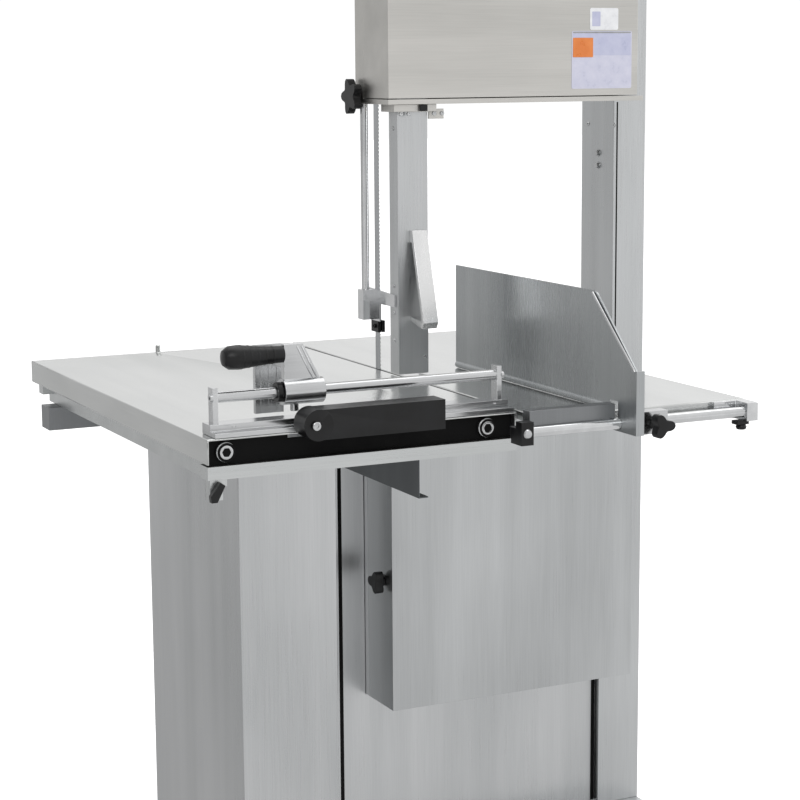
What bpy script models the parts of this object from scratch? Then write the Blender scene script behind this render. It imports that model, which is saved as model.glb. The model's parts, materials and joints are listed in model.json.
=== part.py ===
# Floor-standing bone saw: a band saw with a C-shaped stainless frame, a sliding
# table on the left of the blade, a fixed table with a fence on its right, and a
# height-adjustable blade guard. Metres, +Z up, X to the operator's right, Y away
# from the operator, floor at Z = 0.
#
# Pieces are laid out from the front left top corner of the sliding table:
# x to the right, y to the back, z up from the table top. at() turns such a
# point into the model's own frame, whose origin is the bottom centre.

import math

import bmesh
import bpy
from mathutils import Matrix, Vector

# ---- clearances and sheet gauges
GAP = 0.0003            # between pieces that touch
RUNNING = 0.0005        # round a shaft, rod or pin that turns or slides
SHEET = 0.002           # housings and cabinets
PLATE = 0.003           # table tops and the column
ROUND_SIDES = 24         # sides of a round piece
WHEEL_SIDES = 36

# ---- tables
TABLE_HEIGHT = 0.870
TABLE_DEPTH = 0.867
SLIDE_WIDTH = 0.488
SLIDE_APRON = 0.037
SLIDE_TRAVEL = 0.450
BLADE_SLOT = 0.0075     # between the two tables
FIXED_WIDTH = 0.3590
FIXED_OVERHANG = 0.055  # how far the fixed table reaches in front of the other
FIXED_APRON = 0.014

# ---- blade and wheels
BLADE_WIDTH = 0.020
BLADE_THICKNESS = 0.0006
BLADE_FROM_TABLE = 0.004
WHEEL_RADIUS = 0.230
WHEEL_WIDTH = 0.022
RIM_DEPTH = 0.020
WEB = 0.006
HUB_RADIUS = 0.040
HUB_LENGTH = 0.042
SHAFT_RADIUS = 0.015
WHEEL_IN_COLUMN = 0.0096  # the return run of the blade goes down inside the column

# ---- frame
THROAT_HEIGHT = 0.444
COLUMN_FRONT = 0.470
COLUMN_WIDTH = 0.064
COLUMN_DEPTH = 0.108
HEAD_MARGIN = 0.025     # round the wheel inside a housing
HEAD_LEFT = 0.030       # from the blade to the outside of the head
SHELF = 0.008           # plate under the head
PAN_DEPTH = 0.032
DOOR_DEPTH = 0.0935
DOOR_TO_COLUMN = 0.013
HOUSING_TOP = -0.0605   # top of the lower wheel housing, below the tables
TENSION_TRAVEL = 0.016
COVER_LATCH_Z = -0.347

# ---- cabinets
BASE_HEIGHT = 0.030     # feet under the base plate
BASE_PLATE = 0.004
LEG_LEFT = 0.200
LEG_WIDTH = 0.172
LEG_FRONT = 0.400
LEG_TOP = -0.0735
CABINET_BACK = 0.840
CABINET_SET_BACK = 0.015
CABINET_TOP = -0.0565
FOOT_RADIUS = 0.028
FOOT_INSET = 0.036

# ---- guard
POST_WIDTH = 0.055
POST_DEPTH = 0.031
POST_FRONT = 0.395
POST_LEFT_OF_BLADE = 0.006
POST_TOP = 0.500
POST_FOOT = 0.0025
GUARD_CLEAR = 0.002     # from the guard to what slides past it
ROD_RADIUS = 0.0065
HANDLE_FROM_LEFT = 0.0345
HANDLE_WIDTH = 0.027
GUIDE_HEIGHT = 0.084    # underside of the guard's bracket

# ---- rails, beams
RAIL_RADIUS = 0.010
RAIL_DROP = 0.0205
RAIL_LEFT = 0.029
RAIL_RIGHT = 0.440
LIP_TOP = -0.0392
LIP_BOTTOM = -0.058
BEAM_WIDTH = 0.016

LEVER_PIVOT = (0.0135, 0.0, -0.069)

# ---- pusher and push bar
PUSH_ROD_RADIUS = 0.008
PUSH_ROD_Y = 0.031
PUSH_ROD_Z = 0.053
COLLAR_LEFT = 0.1245
COLLAR_LENGTH = 0.062
COLLAR_RADIUS = 0.0188
STRIP_LEFT = 0.012
STRIP_DEPTH = 0.050
STRIP_HEIGHT = 0.016
BAR_LEFT = 0.152
BAR_RIGHT = 0.350
BAR_DEPTH = 0.038
BAR_TOP = 0.035
BAR_BOTTOM = -0.008

# ---- fence
FENCE_FROM_EDGE = 0.1215
FENCE_BACK = 0.440
FENCE_TOP = 0.174
FENCE_TOP_FRONT = -0.020
FENCE_FRONT = -0.126
FENCE_SHOULDER = 0.067
FENCE_HANG = -0.028
FENCE_FLANGE = 0.0125
FLANGE_PROUD = 0.0005   # of the plate's front edge
FENCE_ROD_RADIUS = 0.008
FENCE_ROD_Y = -0.080
HEM_RADIUS = 0.0055
CLAMP_SIZE = 0.034
CLAMP_WIDTH = 0.046
CLAMP_FROM_FENCE = 0.0245
GUIDE_BAR_DEPTH = 0.020
GUIDE_BAR_BOTTOM = -0.009
GUIDE_BAR_TOP = 0.0135
GUIDE_BAR_REACH = 0.0285
ROD_REACH = 0.0475
GUIDE_BAR_SHORT = 0.004  # of the fence at rest
KNOB_RADIUS = 0.0195
KNOB_THICKNESS = 0.0155
KNOB_STEM = 0.012

# ---- drive
MOTOR_X = 0.600
MOTOR_Z = -0.700
MOTOR_RADIUS = 0.085
MOTOR_FRONT = 0.520
MOTOR_BACK = 0.750
PULLEY_FRONT = 0.772
PULLEY_WIDTH = 0.026
DRIVEN_RADIUS = 0.075
DRIVER_RADIUS = 0.045
BELT_THICKNESS = 0.008
HOUSING_LENGTH = 0.190

# ---- control box on the right of the cabinet, behind the column
SWITCH_DEPTH = 0.030
SWITCH_WIDTH = 0.070
SWITCH_HEIGHT = 0.140
SWITCH_BOTTOM = -0.270
BUTTON_RADIUS = 0.014
BUTTON_STANDS = 0.010
BUTTON_TRAVEL = 0.004

# ---- places that follow from the sizes above
blade_x = SLIDE_WIDTH + BLADE_FROM_TABLE
wheel_x = blade_x + BLADE_THICKNESS / 2 + GAP + WHEEL_RADIUS
column_left = wheel_x + WHEEL_RADIUS - WHEEL_IN_COLUMN
column_right = column_left + COLUMN_WIDTH
column_back = COLUMN_FRONT + COLUMN_DEPTH
fixed_left = SLIDE_WIDTH + BLADE_SLOT
fixed_right = fixed_left + FIXED_WIDTH
pan_back = COLUMN_FRONT + PAN_DEPTH
blade_y = pan_back - SHEET - SHEET / 2 - WHEEL_WIDTH / 2 - RUNNING * 4
door_front = COLUMN_FRONT - GAP - DOOR_DEPTH
door_right = column_left - DOOR_TO_COLUMN
head_left = blade_x - HEAD_LEFT
upper_z = THROAT_HEIGHT + SHELF + HEAD_MARGIN + WHEEL_RADIUS
head_top = upper_z + WHEEL_RADIUS + HEAD_MARGIN
lower_z = HOUSING_TOP - HEAD_MARGIN + SHEET * 3 - WHEEL_RADIUS
housing_bottom = lower_z - WHEEL_RADIUS - HEAD_MARGIN
base_bottom = -TABLE_HEIGHT + BASE_HEIGHT
base_top = base_bottom + BASE_PLATE
cabinet_front = COLUMN_FRONT + CABINET_SET_BACK
cabinet_left = LEG_LEFT + LEG_WIDTH + GAP
post_left = blade_x - POST_LEFT_OF_BLADE
rod_x = head_left + SHEET + ROD_RADIUS + RUNNING * 2
rod_y = pan_back - SHEET - ROD_RADIUS - RUNNING * 6
fence_x = fixed_left + FENCE_FROM_EDGE
fence_rod_z = GUIDE_BAR_BOTTOM - FENCE_ROD_RADIUS + 0.001
centre_x = column_right / 2
centre_y = (FENCE_FRONT - FLANGE_PROUD + TABLE_DEPTH) / 2
hinge_x = door_right + DOOR_TO_COLUMN / 2
hinge_y = COLUMN_FRONT - SHEET * 3.5

AXES = {
    "X": (0.0, math.pi / 2, 0.0),
    "Y": (-math.pi / 2, 0.0, 0.0),
    "Z": (0.0, 0.0, 0.0),
}
PLANES = {  # an outline's own x and y become these two directions
    "XZ": (math.pi / 2, 0.0, 0.0),
    "YZ": (math.pi / 2, 0.0, math.pi / 2),
    "XY": (0.0, 0.0, 0.0),
}


def at(x, y, z):
    return Vector((x - centre_x, y - centre_y, z + TABLE_HEIGHT))


def clear_scene():
    for old in list(bpy.data.objects):
        bpy.data.objects.remove(old, do_unlink=True)


def new_collection(name):
    collection = bpy.data.collections.new(name)
    bpy.context.scene.collection.children.link(collection)
    return collection


clear_scene()
SAW = new_collection("bone_saw")
CUTTERS = new_collection("cutters")


def material(name, colour, metallic, roughness):
    made = bpy.data.materials.new(name)
    made.use_nodes = True
    shader = made.node_tree.nodes["Principled BSDF"]
    shader.inputs["Base Color"].default_value = (*colour, 1.0)
    shader.inputs["Metallic"].default_value = metallic
    shader.inputs["Roughness"].default_value = roughness
    made.diffuse_color = (*colour, 1.0)
    return made


BRUSHED = material("brushed_stainless", (0.52, 0.53, 0.53), 1.0, 0.38)
POLISHED = material("polished_stainless", (0.66, 0.67, 0.67), 1.0, 0.20)
CHROME = material("chromed_steel", (0.75, 0.75, 0.75), 1.0, 0.08)
CAST = material("cast_iron", (0.20, 0.21, 0.21), 0.8, 0.55)
BLACK = material("black_plastic", (0.018, 0.018, 0.020), 0.0, 0.45)
RUBBER = material("black_rubber", (0.014, 0.014, 0.014), 0.0, 0.80)
STEEL = material("blade_steel", (0.48, 0.49, 0.50), 1.0, 0.30)
MOTOR_PAINT = material("motor_grey", (0.16, 0.19, 0.22), 0.2, 0.50)
GREEN = material("green_plastic", (0.02, 0.30, 0.08), 0.0, 0.40)
RED = material("red_plastic", (0.55, 0.02, 0.02), 0.0, 0.40)


def add_object(name, mesh, look, collection=None):
    made = bpy.data.objects.new(name, mesh)
    (collection or SAW).objects.link(made)
    if look:
        mesh.materials.append(look)
    return made


def block_mesh(name, size, open_sides=()):
    """A box of that size, centred on its own origin, without the faces named."""
    shape = bmesh.new()
    bmesh.ops.create_cube(shape, size=1.0)
    bmesh.ops.scale(shape, vec=Vector(size), verts=shape.verts)
    ways = {"-X": (-1, 0, 0), "+X": (1, 0, 0), "-Y": (0, -1, 0), "+Y": (0, 1, 0), "-Z": (0, 0, -1),
            "+Z": (0, 0, 1)}
    shape.normal_update()
    away = [ways[side] for side in open_sides]
    gone = [face for face in shape.faces if any(face.normal.dot(Vector(way)) > 0.9 for way in away)]
    bmesh.ops.delete(shape, geom=gone, context="FACES")
    mesh = bpy.data.meshes.new(name)
    shape.to_mesh(mesh)
    shape.free()
    return mesh


def span(low, high):
    size = [high[i] - low[i] for i in range(3)]
    middle = [(high[i] + low[i]) / 2 for i in range(3)]
    return size, middle


def box(name, low, high, look, bevel=0.0, collection=None):
    size, middle = span(low, high)
    made = add_object(name, block_mesh(name, size), look, collection)
    made.location = at(*middle)
    if bevel:
        edge = made.modifiers.new("edge", "BEVEL")
        edge.width = bevel
        edge.segments = 2
    return made


def pan(name, low, high, look, open_sides, wall):
    """A sheet-metal box with some sides open, folded inwards from its outer size."""
    size, middle = span(low, high)
    made = add_object(name, block_mesh(name, size, open_sides), look)
    made.location = at(*middle)
    gauge = made.modifiers.new("gauge", "SOLIDIFY")
    gauge.thickness = wall
    gauge.offset = -1.0
    gauge.use_even_offset = True
    return made


def smooth(made, angle=0.6):
    made.data.shade_smooth()
    made.data.set_sharp_from_angle(angle=angle)


def turned(name, profile, centre, axis, look, sides=ROUND_SIDES, ring=False, collection=None):
    """A turned shape: (radius, height) points down its outer side, round an axis."""
    mesh = bpy.data.meshes.new(name)
    points = [(radius, 0.0, height) for radius, height in profile]
    edges = [(i, i + 1) for i in range(len(points) - 1)]
    if ring:
        edges.append((len(points) - 1, 0))
    mesh.from_pydata(points, edges, [])
    made = add_object(name, mesh, look, collection)
    made.location = at(*centre)
    made.rotation_euler = AXES[axis]
    spin = made.modifiers.new("turn", "SCREW")
    spin.steps = sides
    spin.render_steps = sides
    spin.use_merge_vertices = True
    spin.merge_threshold = 0.0001
    spin.use_smooth_shade = True
    return made


def cylinder(name, centre, axis, radius, start, end, look, sides=ROUND_SIDES, collection=None):
    """A round bar along an axis, from start to end measured from the centre."""
    profile = [(0.0, end), (radius, end), (radius, start), (0.0, start)]
    return turned(name, profile, centre, axis, look, sides, collection=collection)


def ring(name, centre, axis, outer, inner, start, end, look, sides=ROUND_SIDES):
    profile = [(inner, end), (outer, end), (outer, start), (inner, start)]
    return turned(name, profile, centre, axis, look, sides, ring=True)


def outline(name, loops, plane, middle, thickness, look, collection=None):
    """A flat outline with holes, extruded to its thickness about its middle plane."""
    curve = bpy.data.curves.new(name, "CURVE")
    curve.dimensions = "2D"
    curve.fill_mode = "BOTH"
    curve.extrude = thickness / 2
    for loop in loops:
        spline = curve.splines.new("POLY")
        spline.points.add(len(loop) - 1)
        for point, (across, up) in zip(spline.points, loop):
            point.co = (across, up, 0.0, 1.0)
        spline.use_cyclic_u = True
    flat = bpy.data.objects.new(name + "_outline", curve)
    CUTTERS.objects.link(flat)
    bpy.context.view_layer.update()
    mesh = bpy.data.meshes.new_from_object(flat.evaluated_get(bpy.context.evaluated_depsgraph_get()))
    bpy.data.objects.remove(flat, do_unlink=True)
    shape = bmesh.new()
    shape.from_mesh(mesh)
    bmesh.ops.remove_doubles(shape, verts=shape.verts, dist=0.00001)
    bmesh.ops.recalc_face_normals(shape, faces=shape.faces)
    shape.to_mesh(mesh)
    shape.free()
    mesh.name = name
    mesh.materials.clear()
    made = add_object(name, mesh, look, collection)
    made.location = at(*middle)
    made.rotation_euler = PLANES[plane]
    return made


def as_tool(made):
    for collection in list(made.users_collection):
        collection.objects.unlink(made)
    CUTTERS.objects.link(made)
    made.hide_render = True
    made.display_type = "WIRE"
    return made


def cut(target, tool):
    work = target.modifiers.new("cut", "BOOLEAN")
    work.operation = "DIFFERENCE"
    work.solver = "EXACT"
    work.object = as_tool(tool)


def weld(target, tool):
    work = target.modifiers.new("weld", "BOOLEAN")
    work.operation = "UNION"
    work.solver = "EXACT"
    work.object = as_tool(tool)


def cut_box(target, low, high):
    cut(target, box(target.name + "_cut", low, high, None))


def cut_round(target, centre, axis, radius, start, end, sides=ROUND_SIDES):
    cut(target, cylinder(target.name + "_bore", centre, axis, radius, start, end, None, sides))


def weld_box(target, low, high):
    weld(target, box(target.name + "_add", low, high, None))


def weld_round(target, centre, axis, radius, start, end, sides=ROUND_SIDES):
    weld(target, cylinder(target.name + "_stub", centre, axis, radius, start, end, None, sides))


def arc(centre, radius, first, last, steps):
    """Points on an arc, from the first angle to the last, in degrees."""
    angles = [math.radians(first + (last - first) * i / steps) for i in range(steps + 1)]
    return [(centre[0] + radius * math.cos(a), centre[1] + radius * math.sin(a)) for a in angles]


def loop_round(one, one_radius, two, two_radius, steps):
    """The line of a belt round two wheels: two arcs joined by their outer tangents."""
    across, up = two[0] - one[0], two[1] - one[1]
    distance = math.hypot(across, up)
    heading = math.degrees(math.atan2(up, across))
    lean = math.degrees(math.acos((one_radius - two_radius) / distance))
    points = arc(one, one_radius, heading + lean, heading + 360 - lean, steps)
    return points + arc(two, two_radius, heading - lean, heading + lean, steps)


def lobed(radius, depth, lobes, steps):
    """The edge of a lobed hand knob."""
    turns = [2 * math.pi * i / steps for i in range(steps)]
    reach = [radius - depth / 2 + depth / 2 * math.cos(lobes * turn) for turn in turns]
    return [(r * math.cos(turn), r * math.sin(turn)) for r, turn in zip(reach, turns)]


def carried(name, centre, *pieces):
    """An empty on a joint's axis, with the pieces that move about it."""
    pivot = bpy.data.objects.new(name, None)
    SAW.objects.link(pivot)
    pivot.location = at(*centre)
    pivot.empty_display_size = 0.03
    for piece in pieces:
        piece.parent = pivot
        piece.matrix_parent_inverse = Matrix.Translation(at(*centre)).inverted()
    return pivot


# ---------------------------------------------------------------- base

def build_base():
    feet_x = (LEG_LEFT + FOOT_INSET, column_right - FOOT_INSET)
    feet_y = (LEG_FRONT + FOOT_INSET, CABINET_BACK - FOOT_INSET)
    box("base_plate", (LEG_LEFT, LEG_FRONT, base_bottom), (column_right, CABINET_BACK, base_top), BRUSHED)
    for side, x in zip(("left", "right"), feet_x):
        for end, y in zip(("front", "rear"), feet_y):
            top = base_bottom - GAP
            profile = [
                (0.0, top), (FOOT_RADIUS * 0.45, top), (FOOT_RADIUS * 0.45, top - BASE_HEIGHT * 0.5),
                (FOOT_RADIUS, top - BASE_HEIGHT * 0.66), (FOOT_RADIUS, -TABLE_HEIGHT), (0.0, -TABLE_HEIGHT),
            ]
            turned(f"foot_{end}_{side}", profile, (x, y, 0.0), "Z", RUBBER, 24)


def build_cabinets():
    bottom = base_top + GAP
    pan("left_cabinet", (LEG_LEFT, LEG_FRONT, bottom), (LEG_LEFT + LEG_WIDTH, CABINET_BACK, LEG_TOP),
        BRUSHED, ("-Z",), SHEET)
    right = column_left - GAP
    body = pan("base_cabinet", (cabinet_left, cabinet_front, bottom), (right, CABINET_BACK, CABINET_TOP),
               BRUSHED, ("-Z",), SHEET)
    # the lower wheel housing stands in the front of the cabinet, open to the column
    cut_box(body, (head_left - GAP, cabinet_front - 0.02, housing_bottom - GAP),
            (column_left + 0.01, pan_back + GAP, CABINET_TOP + 0.01))
    # the way to the motor, closed by a screwed panel
    low = (cabinet_left + 0.060, CABINET_BACK - 0.02, bottom + 0.060)
    high = (right - 0.060, CABINET_BACK + 0.02, -0.300)
    cut_box(body, low, high)
    panel = box("rear_access_panel", (low[0] - 0.02, CABINET_BACK + GAP, low[2] - 0.02),
                (high[0] + 0.02, CABINET_BACK + GAP + SHEET, high[2] + 0.02), BRUSHED)
    for i in range(6):
        slot_z = low[2] + 0.060 + i * 0.024
        cut_box(panel, (wheel_x - 0.090, CABINET_BACK - 0.01, slot_z),
                (wheel_x + 0.090, CABINET_BACK + 0.02, slot_z + 0.008))
    gland_z = -0.180
    profile = [
        (0.0075, 0.025), (0.013, 0.025), (0.013, 0.012), (0.017, 0.012),
        (0.017, 0.0), (0.0075, 0.0),
    ]
    turned("cable_gland", profile, (cabinet_left + 0.080, CABINET_BACK + GAP, gland_z), "Y", BLACK, 24,
           ring=True)


def wheel_window(target, z):
    """Room for the wheel's edge where it reaches into the column."""
    half = WHEEL_RADIUS * 0.42
    cut_box(target, (column_left - 0.012, COLUMN_FRONT + PLATE, z - half),
            (column_left + PLATE + 0.003, pan_back - SHEET, z + half))


def build_column():
    column = box("column", (column_left, COLUMN_FRONT, base_top + GAP),
                 (column_right, column_back, head_top), BRUSHED)
    # wider foot of the column beside the cabinet's front
    weld_box(column, (column_left - 0.021, COLUMN_FRONT, base_top + GAP),
             (column_left + 0.020, cabinet_front - GAP, housing_bottom - 0.002))
    cut_box(column, (column_left + PLATE, COLUMN_FRONT + PLATE, base_top - 0.05),
            (column_right - PLATE, column_back - PLATE, head_top - PLATE))
    for z in (upper_z, lower_z):
        wheel_window(column, z)
    return column


def build_housings():
    right = column_left - GAP
    upper = pan("head_back_pan", (head_left, COLUMN_FRONT, THROAT_HEIGHT), (right, pan_back, head_top),
                BRUSHED, ("-Y",), SHEET)
    wheel_window(upper, upper_z)
    # slot for the axle's slide, and openings for the blade and the guard's rod
    cut_box(upper, (wheel_x - SHAFT_RADIUS - 0.004, pan_back - 0.02,
                    upper_z - TENSION_TRAVEL - SHAFT_RADIUS - 0.004),
            (wheel_x + SHAFT_RADIUS + 0.004, pan_back + 0.02, upper_z + SHAFT_RADIUS + 0.004))
    cut_box(upper, (blade_x - 0.006, blade_y - BLADE_WIDTH / 2 - 0.003, THROAT_HEIGHT - 0.01),
            (blade_x + 0.006, blade_y + BLADE_WIDTH / 2 + 0.001, THROAT_HEIGHT + 0.01))
    cut_round(upper, (rod_x, rod_y, THROAT_HEIGHT), "Z", ROD_RADIUS + RUNNING, -0.01, 0.01)
    cut_round(upper, (head_left, rod_y - 0.001, THROAT_HEIGHT + 0.012), "X", 0.0045, -0.01, 0.01, 16)

    weld_box(upper, (head_left, door_front + 0.001, THROAT_HEIGHT),
             (right, COLUMN_FRONT + 0.001, THROAT_HEIGHT + SHELF))
    cut_box(upper, (post_left - 0.002, POST_FRONT - 0.002, THROAT_HEIGHT - 0.01),
            (post_left + POST_WIDTH + 0.002, POST_FRONT + POST_DEPTH + 0.004, THROAT_HEIGHT + SHELF + 0.01))
    cut_box(upper, (hinge_x - 0.010, hinge_y - 0.010, THROAT_HEIGHT - 0.01),
            (right + 0.01, COLUMN_FRONT - GAP, THROAT_HEIGHT + SHELF + 0.01))

    lower = pan("lower_back_pan", (head_left, COLUMN_FRONT, housing_bottom), (right, pan_back, HOUSING_TOP),
                BRUSHED, ("-Y",), SHEET)
    wheel_window(lower, lower_z)
    cut_round(lower, (wheel_x, pan_back, lower_z), "Y", SHAFT_RADIUS + 0.004, -0.02, 0.02)
    cut_box(lower, (blade_x - 0.006, blade_y - BLADE_WIDTH / 2 - 0.003, HOUSING_TOP - 0.01),
            (blade_x + 0.006, blade_y + BLADE_WIDTH / 2 + 0.001, HOUSING_TOP + 0.01))


def hinge_places(bottom, top):
    return (bottom + 0.050, top - 0.110)


def add_hinge(column, z):
    """The fixed half of a door hinge on the column: leaf, two knuckles and the pin."""
    tall, knuckle = 0.060, 0.006
    weld_box(column, (column_left + 0.001, COLUMN_FRONT - PLATE, z),
             (column_left + 0.026, COLUMN_FRONT + 0.001, z + tall))
    for low, high in ((z, z + 0.015), (z + tall - 0.015, z + tall)):
        weld_round(column, (hinge_x, hinge_y, 0.0), "Z", knuckle, low, high, 12)
        weld_box(column, (hinge_x, hinge_y - 0.002, low), (column_left + 0.003, COLUMN_FRONT - 0.001, high))
    weld_round(column, (hinge_x, hinge_y, 0.0), "Z", 0.0030, z + 0.010, z + tall - 0.010, 10)


def add_door_knuckle(door, z):
    low, high = z + 0.016, z + 0.044
    weld_round(door, (hinge_x, hinge_y, 0.0), "Z", 0.006, low, high, 12)
    weld_box(door, (door_right - 0.0015, hinge_y - 0.0035, low), (hinge_x - 0.0043, hinge_y + 0.0035, high))
    cut_round(door, (hinge_x, hinge_y, 0.0), "Z", 0.0030 + RUNNING, low - 0.002, high + 0.002, 10)


def build_door(name, bottom, top, latch_z, post_passes):
    back = COLUMN_FRONT - GAP
    door = pan(name, (head_left, door_front, bottom), (door_right, back, top), BRUSHED, ("+Y",), SHEET)
    for z in hinge_places(bottom, top):
        add_door_knuckle(door, z)
    if post_passes:
        cut_box(door, (head_left + SHEET * 2, POST_FRONT - 0.004, bottom - 0.01),
                (post_left + POST_WIDTH + 0.006, back + 0.01, bottom + SHEET + 0.001))
    # a three-lobed latch knob in the door's left side
    latch_y = door_front + 0.034
    cut_round(door, (head_left, latch_y, latch_z), "X", 0.005 + RUNNING, -0.01, 0.01, 20)
    knob = outline(name.replace("door", "latch").replace("cover", "latch") + "_knob",
                   [lobed(0.0205, 0.010, 3, 30)], "YZ",
                   (head_left - 0.006 - 0.007, latch_y, latch_z), 0.014, BLACK)
    weld_round(knob, (head_left, latch_y, latch_z), "X", 0.0085, -0.010, -GAP * 2, 20)
    weld_round(knob, (head_left, latch_y, latch_z), "X", 0.005, -0.010, 0.014, 20)
    carried(name + "_axis", (hinge_x, hinge_y, (bottom + top) / 2), door)
    carried(knob.name + "_axis", (head_left, latch_y, latch_z), knob)
    return door


# ---------------------------------------------------------------- wheels, blade, drive

def build_wheel(name, z):
    half, web = WHEEL_WIDTH / 2, WEB / 2
    back = half + RUNNING
    bore = SHAFT_RADIUS + RUNNING
    front = back - HUB_LENGTH
    inner = WHEEL_RADIUS - RIM_DEPTH
    profile = [
        (bore, back), (HUB_RADIUS, back), (HUB_RADIUS + 0.004, web), (inner, web), (inner, half),
        (WHEEL_RADIUS, half), (WHEEL_RADIUS, -half), (inner, -half), (inner, -web),
        (HUB_RADIUS + 0.004, -web), (HUB_RADIUS, front), (bore, front),
    ]
    wheel = turned(name, profile, (wheel_x, blade_y, z), "Y", CAST, WHEEL_SIDES, ring=True)
    for i in range(5):
        turn = math.radians(72 * i + 18)
        reach = (HUB_RADIUS + inner) / 2
        centre = (wheel_x + reach * math.cos(turn), blade_y, z + reach * math.sin(turn))
        cut_round(wheel, centre, "Y", 0.042, -0.02, 0.02, 12)
    return wheel


def build_blade():
    inner = WHEEL_RADIUS + GAP
    outer = inner + BLADE_THICKNESS
    upper, lower = (wheel_x, upper_z), (wheel_x, lower_z)
    loops = [
        [(a - wheel_x, b) for a, b in loop_round(lower, outer, upper, outer, 40)],
        [(a - wheel_x, b) for a, b in loop_round(lower, inner, upper, inner, 40)],
    ]
    outline("saw_blade", loops, "XZ", (wheel_x, blade_y, 0.0), BLADE_WIDTH, STEEL)


def build_upper_wheel():
    wheel = build_wheel("upper_wheel", upper_z)
    behind = pan_back + GAP
    carriage = box("tension_carriage", (wheel_x - 0.045, behind, upper_z - 0.045),
                   (wheel_x + 0.045, behind + 0.034, upper_z + 0.045), CAST)
    weld_round(carriage, (wheel_x, behind, upper_z), "Y", SHAFT_RADIUS,
               blade_y - WHEEL_WIDTH / 2 - 0.032 - behind, 0.010, 24)
    housing = pan("tension_housing", (wheel_x - 0.050, behind, upper_z - 0.080),
                  (wheel_x + 0.050, behind + 0.040, head_top), BRUSHED, ("-Y",), SHEET)
    screw_y = behind + 0.018
    cut_round(housing, (wheel_x, screw_y, head_top), "Z", 0.007 + RUNNING, -0.02, 0.02, 24)
    cut_round(carriage, (wheel_x, screw_y, upper_z), "Z", 0.007 + RUNNING, 0.012, 0.10, 24)
    knob = outline("tension_knob", [lobed(0.030, 0.010, 5, 40)], "XY",
                   (wheel_x, screw_y, head_top + 0.012 + 0.013), 0.022, BLACK)
    weld_round(knob, (wheel_x, screw_y, head_top), "Z", 0.013, 0.001, 0.020, 24)
    weld_round(knob, (wheel_x, screw_y, 0.0), "Z", 0.007, upper_z + 0.020, head_top + 0.018, 24)
    carried("upper_wheel_axis", (wheel_x, blade_y, upper_z), wheel)
    carried("tension_slide_axis", (wheel_x, behind, upper_z), carriage)
    carried("tension_screw_axis", (wheel_x, screw_y, head_top), knob)


def build_drive():
    behind = pan_back + GAP
    wheel = build_wheel("lower_wheel", lower_z)
    shaft_front = blade_y - WHEEL_WIDTH / 2 - 0.032
    shaft_back = PULLEY_FRONT + PULLEY_WIDTH + 0.006
    shaft = cylinder("drive_shaft", (wheel_x, 0.0, lower_z), "Y", SHAFT_RADIUS, shaft_front, shaft_back,
                     STEEL, 24)
    bore = SHAFT_RADIUS + RUNNING
    profile = [
        (bore, HOUSING_LENGTH), (0.040, HOUSING_LENGTH), (0.040, 0.014), (0.070, 0.014),
        (0.070, 0.0), (bore, 0.0),
    ]
    turned("bearing_housing", profile, (wheel_x, behind, lower_z), "Y", CAST, 28, ring=True)

    def pulley(name, x, z, radius, bore_radius):
        groove, half = 0.006, PULLEY_WIDTH / 2
        shape = [
            (bore_radius, half), (radius + groove, half), (radius, half - 0.003), (radius, 0.003 - half),
            (radius + groove, -half), (bore_radius, -half),
        ]
        return turned(name, shape, (x, PULLEY_FRONT + half, z), "Y", CAST, 28, ring=True)

    weld(shaft, pulley("driven_pulley", wheel_x, lower_z, DRIVEN_RADIUS, SHAFT_RADIUS - GAP))
    motor_shaft_radius = 0.012
    driver = pulley("motor_pulley", MOTOR_X, MOTOR_Z, DRIVER_RADIUS, motor_shaft_radius - GAP)
    weld_round(driver, (MOTOR_X, 0.0, MOTOR_Z), "Y", motor_shaft_radius, MOTOR_BACK - 0.020, shaft_back, 24)
    motor = cylinder("motor", (MOTOR_X, 0.0, MOTOR_Z), "Y", MOTOR_RADIUS, MOTOR_FRONT, MOTOR_BACK,
                     MOTOR_PAINT, 28)
    weld_box(motor, (MOTOR_X - MOTOR_RADIUS * 0.8, MOTOR_FRONT + 0.050, base_top + GAP),
             (MOTOR_X + MOTOR_RADIUS * 0.8, MOTOR_BACK - 0.040, MOTOR_Z - MOTOR_RADIUS * 0.7))
    cut_round(motor, (MOTOR_X, 0.0, MOTOR_Z), "Y", motor_shaft_radius + RUNNING, MOTOR_BACK - 0.022,
              MOTOR_BACK + 0.02, 24)

    one, two = (MOTOR_X - wheel_x, MOTOR_Z), (0.0, lower_z)
    inner = GAP
    outer = GAP + BELT_THICKNESS
    loops = [loop_round(two, DRIVEN_RADIUS + grow, one, DRIVER_RADIUS + grow, 32) for grow in (outer,
            inner)]
    outline("drive_belt", loops, "XZ", (wheel_x, PULLEY_FRONT + PULLEY_WIDTH / 2, 0.0),
            PULLEY_WIDTH - 0.010, RUBBER)
    carried("lower_wheel_axis", (wheel_x, blade_y, lower_z), wheel, shaft)
    carried("motor_axis", (MOTOR_X, PULLEY_FRONT, MOTOR_Z), driver)


# ---------------------------------------------------------------- guard

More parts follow.
